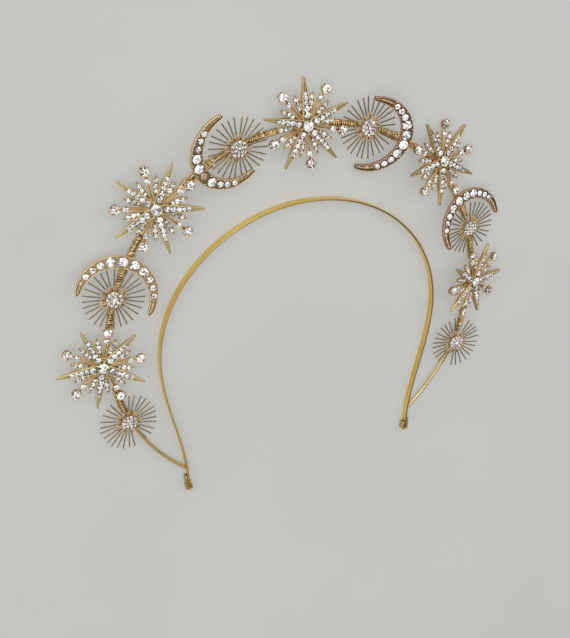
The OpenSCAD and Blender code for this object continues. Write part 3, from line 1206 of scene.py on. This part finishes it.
@dataclass
class Ornament:
    """Anything that is wired on to the halo.

    Attributes:
        bench: makes the pieces.
        number: which one of its kind this is.
        place: where it sits.
    """

    bench: Bench
    number: int
    place: Place

    # Seed of each kind's chance, and how much darker each one of the kind is made: its metal, and on a star its stones
    SEED = 0
    DARKENING = (0.0,)

    def __post_init__(self) -> None:
        """Works out its frame, its tone and its own source of chance."""
        self.matrix = self.place.matrix(self.bench.halo)
        self.darkening = self.DARKENING[self.number - 1]
        self.rng = np.random.default_rng([self.SEED, self.number])

    def make(self, name: str, shape: Shape, finish: Finish, stands_for: str) -> None:
        """Makes a piece from a surface in the ornament's frame, in place of one CAD node."""
        self.bench.piece(name, shape.moved(self.matrix), finish, [stands_for])

    def make_stones(self, name: str, shape: Shape) -> None:
        """Makes the piece that holds all the ornament's stones, which stands for no CAD node."""
        self.bench.piece(name, shape.moved(self.matrix), RHINESTONE, crease=STONE_CREASE)


@dataclass
class StarOrnament(Ornament):
    """A star of two castings: ten leaves and five arms below, and five long rays above.

    Attributes:
        ray_reach: radius to the end of a ray.
        ray_nose: length over which that end closes.
        valley: radius at which the rays part.
        belly: radius at which a leaf is widest.
        leaf_reach: radius to the tip of a leaf.
    """

    ray_reach: float = 22.8
    ray_nose: float = 0.9
    valley: float = 4.6
    belly: float = 10.8
    leaf_reach: float = 15.6

    SEED = 12
    DARKENING = (0.04, 0.0, 0.05, 0.20, 0.22)
    # The first star whose rays have the aged plating
    FIRST_AGED = 3
    RAY_ANGLES = np.arange(5) * 72.0
    ARM_ANGLES = RAY_ANGLES + 36.0
    LEAF_ANGLES = np.arange(10) * 36.0 + 18.0
    # Distance, diameter and height of the stones along a ray, a leaf and an arm
    RAY_STONES = np.array([
        (5.0, 3.1, 4.98), (7.97, 2.8, 4.98), (10.62, 2.5, 4.98), (13.0, 2.25, 4.98), (15.15, 2.05, 4.98),
    ])
    LEAF_STONES = np.array([(8.3, 1.8, 3.2), (10.55, 2.5, 3.2), (13.05, 2.2, 3.2)])
    ARM_STONES = np.array([(13.7, 2.9, 3.9), (18.7, 4.4, 4.65)])
    MIDDLE_WIDTH, MIDDLE_HEIGHT = 5.3, 5.35
    # Distance and half width along an arm: a stalk, a tulip under the small stone, a neck and the basket's foot
    ARM_WIDTHS = np.array([
        (3.5, 0.6), (6.0, 0.52), (9.0, 0.52), (11.6, 0.72), (13.4, 1.2), (14.8, 0.9), (16.0, 0.7), (17.2, 1.1),
        (18.7, 1.5),
    ])
    # Place across and along a leaf, height and radius of its beads
    LEAF_BEADS = np.array([
        (-1.12, 11.95, 3.32, 0.26), (1.12, 11.95, 3.32, 0.26), (-0.85, 9.4, 3.32, 0.26), (0.85, 9.4, 3.32, 0.26),
        (0.0, 14.6, 3.32, 0.34),
    ])
    RAY_SECTION = RimSection(bottom=2.7, top=5.1, rim=0.34, depth=0.6, splay=0.28)
    LEAF_SECTION = RimSection(bottom=2.0, top=3.3, rim=0.27, depth=0.6, splay=0.12)
    ARM_SECTION = RimSection(bottom=2.0, top=3.3, rim=0.3, depth=0.6, splay=0.12)
    COLLET = ((2.6, 3.4), (2.9, 3.6), (2.95, 4.6), (2.9, 5.2), (2.75, 5.45), (2.6, 5.3), (2.5, 5.1))
    STEM = ((2.5, 3.25), (2.5, 3.7))
    HUB = ((4.8, 2.0), (5.1, 2.4), (5.0, 3.0), (4.0, 3.1), (2.0, 3.15))
    CUP = ((1.0, 2.3), (1.3, 3.2), (1.45, 3.8), (1.4, 3.9), (1.2, 3.7))
    BASKET = ((1.6, 2.0), (2.05, 2.3), (2.35, 3.4), (2.45, 4.5), (2.35, 4.7), (2.2, 4.6), (2.1, 4.3))

    def ray_half_width(self, r: Array) -> Array:
        """Half width of a ray: 2.1 to the valley, then 0.42 plus 1.68 (1 - u^1.45) as u goes from 0 to 1."""
        nose = rounding(share(r, self.ray_reach - self.ray_nose, self.ray_reach), 0.004)
        return (0.42 + 1.68 * (1.0 - share(r, self.valley, self.ray_reach) ** 1.45)) * nose

    def ray(self) -> Shape:
        """One rimmed ray, which falls a little towards its end."""
        end = self.ray_reach - self.ray_nose * (1.0 - np.sin(np.linspace(0.2, 1.57, 8)))
        r = np.concatenate([np.linspace(0.0, 21.8, 34), end])
        fall = 0.25 * share(r, 16.0, 23.0) + 0.4 * share(r, 22.0, 22.8) ** 2
        lateral, height, tone = self.RAY_SECTION.sides(self.ray_half_width(r), fall)
        underside = self.RAY_SECTION.bottom + 0.7 * share(r, 8.0, 18.0)
        # The section's tones give painted shade and patina, at 0.82 of full, falling to 0.62 towards the tip
        shade_share = 0.82 - 0.2 * share(r, 15.8, 16.8)
        shade_and_patina = np.clip(np.outer(shade_share, tone) + self.darkening, 0.0, 1.0)
        return blade(r, lateral, np.maximum(height, underside[:, None]), shade_and_patina)

    def rays(self) -> Shape:
        """The upper casting: five rays, the collet, its prongs and the beaded grain."""
        distance, width, _ = self.RAY_STONES.T
        seats = distance + width / 2.0 + 0.1
        spread = self.ray_half_width(seats) - 0.36
        claws = [around(self.RAY_ANGLES, np.stack([side * spread, seats, 0.0 * seats + 5.12], -1)) for side in (-1, 1)]
        dots = np.arange(16.8, 21.9, 0.76)
        return joined([
            self.ray().copies(clockwise(self.RAY_ANGLES)),
            lathe(self.COLLET, 24, 0.1, 8, 0.03),
            lathe(self.STEM, 16, 0.6),
            beads(ring(8, 2.68, 5.55, 22.5), 0.36, 1.2),
            beads(np.concatenate(claws), 0.3),
            beads(around(self.RAY_ANGLES, polar(0.0, dots, 4.74)), np.tile(0.44 - 0.028 * (dots - 16.8), 5)),
        ])

    def leaf_half_width(self, r: Array) -> Array:
        """Half width of a leaf: swells smoothly from 0.8 to 1.55 at the belly, then closes to a point as 1 - u^2.1."""
        closing = np.minimum(share(r, self.belly, self.leaf_reach), 0.995)
        return (0.8 + 0.75 * eased(share(r, 4.5, self.belly))) * (1.0 - closing**2.1) + 0.03

    def leaf(self) -> Shape:
        """One rimmed leaf, with painted shade at its foot, where it runs under the rays."""
        r = np.concatenate([np.linspace(3.5, 14.9, 22), [15.2, 15.4, 15.55]])
        lateral, height, tone = self.LEAF_SECTION.sides(self.leaf_half_width(r))
        # Painted shade at the foot, darkest inside 5.5 mm, where the rays lie over the leaf
        foot = 0.3 * share(r, 8.5, 5.5)[:, None]
        return blade(r, lateral, height, 0.85 * tone + self.darkening + foot)

    def arm(self) -> Shape:
        """One arm: a rib stands in its channel, and it rises a little on the way out."""
        r = np.linspace(3.5, 18.7, 30)
        fall = -0.25 * (1.0 - share(np.abs(r - 9.0), 0.0, 5.0))
        lateral, height, tone = self.ARM_SECTION.sides(np.interp(r, *self.ARM_WIDTHS.T), fall)
        height[:, RimSection.MIDDLE] = height[:, RimSection.CREST] + 0.1
        tone[[RimSection.MIDDLE - 1, RimSection.MIDDLE]] = 0.2
        return blade(r, lateral, height, 0.4 * tone + self.darkening)

    def leaves(self) -> Shape:
        """The lower casting: ten leaves, five arms with cup, basket and prongs, and the hub."""
        cups, baskets = (polar(self.ARM_ANGLES, distance, 0.0) for distance in self.ARM_STONES[:, 0])
        basket_prongs = ring(8, 2.38, 4.8) + baskets[:, None]
        cup_prongs = around(self.ARM_ANGLES, ring(4, 1.45, 4.0, 45.0) + (0.0, self.ARM_STONES[0, 0], 0.0))
        return joined([
            self.leaf().copies(clockwise(self.LEAF_ANGLES)),
            self.arm().copies(clockwise(self.ARM_ANGLES)),
            lathe(self.HUB, 30, 0.55),
            lathe([(3.0, self.place.seat(3.0)), (3.0, 2.3)], 20, 0.5),
            lathe(self.CUP, 14, 0.4).copies(scaled(cups)),
            lathe(self.BASKET, 32, 0.7, 8, 0.06).copies(scaled(baskets)),
            beads(basket_prongs.reshape(-1, 3), 0.43, 1.2),
            beads(cup_prongs, 0.34),
            beads(around(self.LEAF_ANGLES, self.LEAF_BEADS[:, :3]), np.tile(self.LEAF_BEADS[:, 3], 10)),
        ])

    def settings(self) -> Shape:
        """All the stones: a big one in the middle, rows on the rays and leaves, and pairs on the arms."""
        middle = stones(
            np.array([[0.0, 0.0, self.MIDDLE_HEIGHT]]), np.array([self.MIDDLE_WIDTH]), self.rng, dim=-0.05
        )
        centres, widths = [], []
        for table, angles in (
            (self.RAY_STONES, self.RAY_ANGLES),
            (self.LEAF_STONES, self.LEAF_ANGLES),
            (self.ARM_STONES, self.ARM_ANGLES),
        ):
            centres.append(around(angles, polar(0.0, table[:, 0], table[:, 2])))
            widths.append(np.tile(table[:, 1], len(angles)))
        rest = stones(np.concatenate(centres), np.concatenate(widths), self.rng, dim=0.3 * self.darkening)
        return joined([middle, rest])

    def build(self) -> None:
        """Makes the star's three pieces."""
        name = f"star_{self.number}"
        plating = OLD_GOLD if self.number < self.FIRST_AGED else AGED_GOLD
        self.make(f"{name}_leaves", self.leaves(), LEAF_GOLD, f"{name}_flower")
        self.make(f"{name}_rays", self.rays(), plating, f"{name}_spikes")
        self.make_stones(f"{name}_stones", self.settings())


@dataclass
class CrescentMoon(Ornament):
    """A crescent: a channel between two rims, stones in its middle and beaded grooves in its tips.

    Attributes:
        outer: radius of the outer edge.
        inner: radius of the inner edge.
        offset: distance of the inner edge's centre from the outer one's.
        sweep: degrees from the middle to each tip.
        closing: degrees over which a tip closes.
        stone_arc: radius of the arc along which the stones are spaced.
    """

    outer: float = 19.6
    inner: float = 16.6
    offset: float = 3.2
    sweep: float = 106.0
    closing: float = 4.0
    stone_arc: float = 16.65

    SEED = 12
    DARKENING = (0.02, 0.12, 0.42, 0.38)
    PLATING = (LEAF_GOLD, LEAF_GOLD, ROSE_GOLD, ROSE_GOLD)
    # Diameters of the stones from one tip to the other
    STONES = np.array([3.0, 3.2, 3.4, 4.75, 4.95, 4.85, 4.6, 3.4, 3.2, 3.0])
    # Gap between the stones of each crescent
    GAPS = (0.85, 0.6, 0.42, 0.48)
    # Which crescent has an empty seat, which of its stones is gone, and the bare boss there
    EMPTY_SEAT = (2, 4)
    BOSS = ((1.8, 4.0), (1.65, 4.35), (1.45, 4.5), (1.15, 4.4))
    SECTION = RimSection(bottom=3.4, top=5.0, rim=0.38, depth=0.8, splay=0.06)

    def inner_edge(self, degrees: Array) -> Array:
        """Distance to the inner edge: root of (inner^2 - (offset sin a)^2), less offset cos a."""
        a = np.radians(degrees)
        return np.sqrt(self.inner**2 - (self.offset * np.sin(a)) ** 2) - self.offset * np.cos(a)

    def middle(self, degrees: Array) -> Array:
        """Distance to the middle line."""
        return (self.outer + self.inner_edge(degrees)) / 2.0

    def half(self, degrees: Array) -> Array:
        """Half width of the crescent."""
        return (self.outer - self.inner_edge(degrees)) / 2.0

    def channel(self) -> Shape:
        """Carries the rimmed section round the crescent, its tips closing as a half circle."""
        shoulder = self.sweep - self.closing
        tip = shoulder + self.closing * np.sin(np.linspace(0.2, 1.56, 8))
        a = np.concatenate([-tip[::-1], np.linspace(-shoulder, shoulder, 110), tip])
        nose = rounding(share(np.abs(a), shoulder, self.sweep), 0.003)
        far = share(np.abs(a), 70.0, 100.0)
        lateral, height, tone = self.SECTION.sides(self.half(a) * nose, 0.3 * far)
        # The section's tones give painted shade and patina, at 0.66 of full, rising to 0.78 towards the tips
        shade_and_patina = np.clip(np.outer(0.66 + 0.12 * far, tone) + self.darkening, 0.0, 1.0)
        path, side = (polar(a, reach, 0.0)[:, :2] for reach in (self.middle(a), 1.0))
        return casting(path, side, lateral, height, shade_and_patina)

    def stone_angles(self) -> Array:
        """Angles of the stones, set a small gap apart along the middle line."""
        room = self.STONES + self.GAPS[self.number - 1]
        ends = np.cumsum(room)
        return np.degrees((ends - room / 2.0 - ends[-1] / 2.0) / self.stone_arc)

    def prongs(self) -> Shape:
        """A bead on each rim between neighbouring stones, and a row of little bars across the tips' grooves."""
        at = self.stone_angles()
        reach = np.degrees(self.STONES[0] / 2.0 / 17.4) + 0.8
        between = np.concatenate([[at[0] - reach], (at[1:] + at[:-1]) / 2.0, [at[-1] + reach]])
        offset = self.half(between) - 0.62
        rims = [polar(between, self.middle(between) + side * offset, 4.9) for side in (-1.0, 1.0)]
        groove = np.arange(at[-1] + reach + 1.6, self.sweep - 2.5, 2.3)
        count = 2 * len(groove)
        both = np.concatenate([-groove, groove]) + self.rng.uniform(-0.35, 0.35, count)
        broad = self.rng.uniform(0.45, 0.7, count) * (self.half(both) - 0.3)
        size = np.stack([self.rng.uniform(0.24, 0.34, count), broad, np.full(count, 0.22)], -1)
        bars = BEAD.copies(clockwise(both) @ scaled(polar(0.0, self.middle(both), 4.3), size))
        return joined([beads(np.concatenate(rims), 0.42), bars])

    def settings(self) -> Shape:
        """The stones in the channel, one of them gone from its seat."""
        at = self.stone_angles()
        held = np.array([(self.number, i) != self.EMPTY_SEAT for i in range(len(at))])
        return stones(polar(at, self.middle(at), 4.8)[held], self.STONES[held], self.rng, 7.0, dim=-0.07)

    def bare_seats(self) -> Sequence[Shape]:
        """The boss in the middle of a seat whose stone is gone."""
        if self.number != self.EMPTY_SEAT[0]:
            return []
        at = self.stone_angles()[self.EMPTY_SEAT[1]]
        return [lathe(self.BOSS, 16, 0.12, 4, 0.1).moved(scaled(polar(at, self.middle(at), 0.0))[0])]

    def build(self) -> None:
        """Makes the crescent's two pieces."""
        name = f"crescent_{self.number}"
        body = joined([self.channel(), self.prongs(), *self.bare_seats()])
        self.make(f"{name}_channel", body, self.PLATING[self.number - 1], name)
        self.make_stones(f"{name}_stones", self.settings())


@dataclass
class PinSun(Ornament):
    """A sun: thin straight pins round a rosette of small stones.

    Attributes:
        reach: radius to the end of a pin.
        root: radius at which a pin starts.
        pin: radius of a pin.
        per_side: pins on each side of the halo wire.
        first_pin: degrees from the wire to the first pin.
        middle_stone: diameter of the stone in the middle.
    """

    reach: float = 15.4
    root: float = 3.2
    pin: float = 0.33
    per_side: int = 13
    first_pin: float = 13.0
    middle_stone: float = 2.1

    SEED = 6
    DARKENING = (0.82, 0.82, 0.82, 0.90, 0.90, 0.90)
    # Number, distance, diameter, height, outward lean and turn of the stones in each ring
    RINGS = ((6, 1.9, 1.65, 4.1, 8.0, 0.0), (10, 3.4, 1.75, 3.85, 16.0, 9.0))
    # Share of a stone's diameter outwards, height over it and radius of the two prongs beside it
    PRONGS = ((0.44, 0.1, 0.27), (-0.44, 0.16, 0.19))
    # Which sun has a pin that ends short beside a star, which pin, and that pin's reach
    SHORT_PIN = (4, 12, 11.4)
    # Radius and distance along a pin and along a sleeve, each one long
    PIN = ((1.0, 0.0), (1.0, 0.5), (1.0, 0.97), (0.95, 0.99), (0.6, 1.0))
    SLEEVE = ((1.1, 0.0), (1.0, 0.45), (0.9, 0.85), (0.55, 1.0))
    PLATE = ((3.8, 2.75), (4.05, 2.85), (4.15, 3.1), (3.85, 3.4), (2.4, 3.5))
    PETAL_SECTION = RimSection(bottom=0.0, top=0.5, rim=0.2, depth=0.3, splay=0.05)

    def pin_angles(self) -> Array:
        """Angles of all the pins, each a degree or so off its even place."""
        even = np.linspace(self.first_pin, 180.0 - self.first_pin, self.per_side)
        both = np.concatenate([even, even + 180.0])
        return both + np.random.default_rng(self.number).uniform(-1.6, 1.6, len(both))

    def outwards(self, angles: Array, start: Point, width: float, lengths: Array) -> Array:
        """Frames that draw a form out along Y to each length, move it to start, and turn it to each angle."""
        widths = np.full(len(lengths), width)
        return clockwise(angles) @ scaled(start, np.stack([widths, lengths, widths], -1))

    def pins(self) -> Shape:
        """Straight pins with blunt, slightly rounded ends, laid out from the hub."""
        angles = self.pin_angles()
        lengths = self.reach - self.root - self.rng.uniform(0.0, 0.5, len(angles))
        sun, short, reach = self.SHORT_PIN
        if self.number == sun:
            lengths[short] = reach - self.root
        bend = spun(0, self.rng.uniform(-0.012, 0.012, len(angles)))
        pin = lathe(self.PIN, 8, self.darkening).moved(turned("X", -90.0))
        low = self.place.seat(3.5)
        return joined([
            pin.copies(self.outwards(angles, (0.0, self.root, 2.3), self.pin, lengths) @ bend),
            lathe([(3.3, low), (3.5, low + 0.2), (3.5, 2.4), (3.3, 2.5)], 20, 0.5),
        ])

    def petal(self) -> Shape:
        """One rimmed petal."""
        r = np.linspace(0.0, 1.0, 9)
        half = 0.62 * np.sin(np.pi * np.clip(r, 0.06, 0.985)) ** 0.7
        lateral, height, tone = self.PETAL_SECTION.sides(half)
        return blade(2.2 * r, lateral, height, 0.25 + 0.75 * tone)

    def rosette(self) -> Shape:
        """The upper casting: scalloped plate, sleeves over the pins' roots, petals and prongs."""
        angles = self.pin_angles()
        sleeve = lathe(self.SLEEVE, 8, 0.55).moved(turned("X", -90.0))
        lengths = self.rng.uniform(2.4, 3.9, len(angles))
        spots = np.arange(10) * 36.0 + 9.0 + self.rng.uniform(-5.0, 5.0, 10)
        stretch = np.where(np.arange(10) % 3 == self.number % 3, 1.65, 1.15)
        prongs = [
            beads(ring(count, radius + out * width, height + rise, turn + 180.0 / count), size, 1.2)
            for count, radius, width, height, _, turn in self.RINGS for out, rise, size in self.PRONGS
        ]
        return joined([
            lathe(self.PLATE, 40, 0.75, 10, 0.04),
            sleeve.copies(self.outwards(angles, (0.0, 3.5, 2.42), 0.52, lengths)),
            self.petal().copies(self.outwards(spots, (0.0, 3.5, 2.8), 1.0, stretch)),
            *prongs,
        ])

    def settings(self) -> Shape:
        """Two rings of small stones that lean outwards, and one in the middle."""
        centres, widths, leans = [np.array([[0.0, 0.0, 4.25]])], [np.array([self.middle_stone])], [np.eye(4)[None]]
        for count, radius, width, height, lean, turn in self.RINGS:
            angles = np.arange(count) * 360.0 / count + turn
            centres.append(polar(angles, radius + self.rng.uniform(-0.08, 0.08, count), height))
            widths.append(width * self.rng.uniform(0.93, 1.05, count))
            leans.append(clockwise(angles) @ spun(0, np.full(count, -lean)) @ clockwise(-angles))
        return stones(np.concatenate(centres), np.concatenate(widths), self.rng, 9.0, np.concatenate(leans), 0.04)

    def build(self) -> None:
        """Makes the sun's three pieces."""
        name = f"sun_{self.number}"
        self.make(f"{name}_rays", self.pins(), OLD_GOLD, f"{name}_pins")
        self.make(f"{name}_rosette", self.rosette(), LEAF_GOLD, f"{name}_cluster")
        self.make_stones(f"{name}_stones", self.settings())


# ---------------------------------------------------------------------------------------------- the studio


@dataclass(frozen=True)
class Softbox:
    """A large soft lamp.

    Attributes:
        name: of the lamp.
        toward: direction from the headpiece to the lamp.
        distance: in metres.
        width: in metres.
        height: in metres.
        watts: its power.
        tint: its colour.
    """

    name: str
    toward: Point
    distance: float
    width: float
    height: float
    watts: float
    tint: Colour = (1.0, 1.0, 1.0)

    def place(self) -> None:
        """Puts the lamp in the scene, facing the headpiece."""
        lamp = bpy.data.lights.new(self.name, "AREA")
        lamp.shape, lamp.size, lamp.size_y = "RECTANGLE", self.width, self.height
        lamp.energy, lamp.color = self.watts, self.tint
        thing = bpy.data.objects.new(self.name, lamp)
        way = Vector(self.toward).normalized()
        turn = way.to_track_quat("Z", "Y").to_matrix().to_4x4()
        thing.matrix_world = Matrix.Translation(way * self.distance) @ turn
        bpy.context.scene.collection.objects.link(thing)


@dataclass(frozen=True)
class Studio:
    """The pale floor, the lamps, the room's light and the camera.

    Attributes:
        lamps: the softboxes.
        near_room: light from the room in front of the headpiece and below it.
        far_room: light from above and behind it.
        azimuth: the camera's turn round the headpiece as it is worn, in degrees.
        elevation: its height angle, in degrees.
        roll: its roll, in degrees.
        stand: where it stands, in metres, in the part's frame.
        lens: focal length for a 36 mm long side.
    """

    lamps: Tuple[Softbox, ...] = (
        Softbox("window", (-0.45, 0.80, 0.75), 1.7, 1.6, 1.3, 8.0, (1.0, 0.995, 0.98)),
        Softbox("fill", (0.80, 0.45, 0.65), 1.6, 0.8, 0.8, 3.0, (0.97, 0.98, 1.0)),
        Softbox("spark", (-0.55, -0.15, 1.0), 1.6, 0.25, 0.25, 1.6, (1.0, 0.99, 0.97)),
    )
    near_room: Colour = (0.35, 0.335, 0.31)
    far_room: Colour = (0.78, 0.785, 0.78)
    azimuth: float = -24.395
    elevation: float = 29.85
    roll: float = 0.402
    stand: Point = (-0.17714, 0.21879, 0.3751)
    lens: float = 50.70

    # Direction from which the room's light changes from near to far, and where along it the change starts and ends
    ROOM_WAY, ROOM_BLEND = (-0.42, 0.66, 0.62), (-0.35, 0.75)

    def camera(self) -> None:
        """Stands the camera as in the picture.

        As worn, X is right, Y back and Z up; the part lies on its back, so (x, y, z) becomes (x, z, -y).
        """
        az, el, roll = (math.radians(v) for v in (self.azimuth, self.elevation, self.roll))
        back = Vector((math.sin(az) * math.cos(el), -math.cos(az) * math.cos(el), math.sin(el)))
        right = Vector((math.cos(az), math.sin(az), 0.0))
        up = back.cross(right)
        right, up = math.cos(roll) * right + math.sin(roll) * up, math.cos(roll) * up - math.sin(roll) * right
        columns = [Vector((v.x, v.z, -v.y)) for v in (right, up, back)]
        lens = bpy.data.cameras.new("camera")
        lens.lens, lens.sensor_width, lens.clip_start = self.lens, 36.0, 0.01
        eye = bpy.data.objects.new("camera", lens)
        eye.matrix_world = Matrix.Translation(self.stand) @ Matrix(columns).transposed().to_4x4()
        bpy.context.scene.collection.objects.link(eye)
        bpy.context.scene.camera = eye

    def floor(self) -> None:
        """Lays a wide flat floor under the headpiece."""
        reach = np.linspace(-3.0, 3.0, 13)
        x, y = np.meshgrid(reach, reach)
        points = np.stack([x, y, 0.0 * x], -1).reshape(-1, 3)
        number = np.arange(x.size).reshape(x.shape)
        quads = np.stack([number[:-1, :-1], number[:-1, 1:], number[1:, 1:], number[1:, :-1]], -1).reshape(-1, 4)
        mesh = bpy.data.meshes.new("floor")
        mesh.from_pydata(points.tolist(), [], quads.tolist())
        mesh.materials.append(FloorFinish().material())
        floor = bpy.data.objects.new("floor", mesh)
        bpy.context.scene.collection.objects.link(floor)

    def light(self) -> None:
        """Sets the room's light and the lamps."""
        world = bpy.data.worlds.new("room")
        g = Graph(world)
        way = g.node("ShaderNodeTexCoord", {}, {}, "Generated")
        toward = g.node("ShaderNodeVectorMath", {"operation": "DOT_PRODUCT"}, {0: way, 1: self.ROOM_WAY}, "Value")
        room = g.mix(toward.between(*self.ROOM_BLEND), self.near_room, self.far_room)
        g.end("ShaderNodeOutputWorld", g.node("ShaderNodeBackground", {}, {"Color": room}))
        bpy.context.scene.world = world
        for lamp in self.lamps:
            lamp.place()

    def build(self) -> None:
        """Sets up the whole studio."""
        bpy.context.scene.view_settings.view_transform = "Standard"
        self.camera()
        self.floor()
        self.light()


# Angle on the halo, distance outside the wire, turn, lean about X, lean about Y, lift
STAR_PLACES = (
    Place(-90.4, 4.2, -22.7, -3.2, -5.0, 0.5),
    Place(-45.4, 3.4, 23.5, -4.3, -6.8, 0.0),
    Place(-0.9, 0.8, -4.5, -4.4, -1.0, 0.0),
    Place(44.1, 3.1, -25.8, -11.3, 11.2, 1.1),
    Place(88.5, -1.0, 18.0, 2.4, 16.6, 1.7),
)
SUN_PLACES = (
    Place(-110.7, 0.8, -20.6, -4.0, 4.0, 0.4),
    Place(-70.9, 1.4, 19.0, -3.0, 1.0, 1.4),
    Place(-20.1, 0.4, 70.0, 4.0, 3.0, 0.5),
    Place(17.5, 0.2, 103.5, -5.0, 0.0, 0.5),
    Place(70.1, -0.4, 160.5, 2.0, 3.0, 0.4),
    Place(111.0, 0.0, 201.0, -5.0, -3.0, 0.4),
)
MOON_PLACES = (
    Place(-69.5, 1.1, 25.8, -8.9, -3.0, 2.0),
    Place(-22.8, 3.8, -121.4, 9.7, 6.7, 3.2),
    Place(19.7, -2.2, 102.5, 7.3, -12.7, 0.0),
    Place(68.0, -0.3, -22.7, -8.1, 7.6, 1.1),
)
# Wound stretches of the halo wire: first angle, last angle, and how each end is finished
WRAPS = (
    (-108.0, -99.0, WrapEnd.PLAIN, WrapEnd.PLAIN),
    (-82.0, -73.4, WrapEnd.PLAIN, WrapEnd.PLAIN),
    (-68.4, -62.6, WrapEnd.PLAIN, WrapEnd.BUNDLE),
    (-59.8, -53.5, WrapEnd.EYELET, WrapEnd.PLAIN),
    (-37.0, -32.4, WrapEnd.PLAIN, WrapEnd.EYELET),
    (-29.6, -22.6, WrapEnd.BUNDLE, WrapEnd.PLAIN),
    (-17.0, -8.0, WrapEnd.PLAIN, WrapEnd.PLAIN),
    (6.5, 15.0, WrapEnd.PLAIN, WrapEnd.PLAIN),
    (21.0, 29.3, WrapEnd.PLAIN, WrapEnd.BUNDLE),
    (32.2, 36.5, WrapEnd.EYELET, WrapEnd.PLAIN),
    (53.0, 60.4, WrapEnd.PLAIN, WrapEnd.EYELET),
    (62.3, 67.2, WrapEnd.BUNDLE, WrapEnd.PLAIN),
    (73.0, 81.5, WrapEnd.PLAIN, WrapEnd.PLAIN),
    (98.5, 108.0, WrapEnd.PLAIN, WrapEnd.PLAIN),
)


def main() -> None:
    """Builds the studio and every piece of the headpiece, in order."""
    logging.basicConfig(level=logging.INFO, format="%(name)s: %(message)s")
    Studio().build()
    bench = Bench(Halo())
    Headband(bench).build()
    HaloRod(bench).build()
    for number, wrap in enumerate(WRAPS, 1):
        CraftWrap(bench, number, *wrap).build()
    for number, place in enumerate(SUN_PLACES, 1):
        PinSun(bench, number, place).build()
    for number, place in enumerate(MOON_PLACES, 1):
        CrescentMoon(bench, number, place).build()
    for number, place in enumerate(STAR_PLACES, 1):
        StarOrnament(bench, number, place).build()


if __name__ == "__main__":
    main()
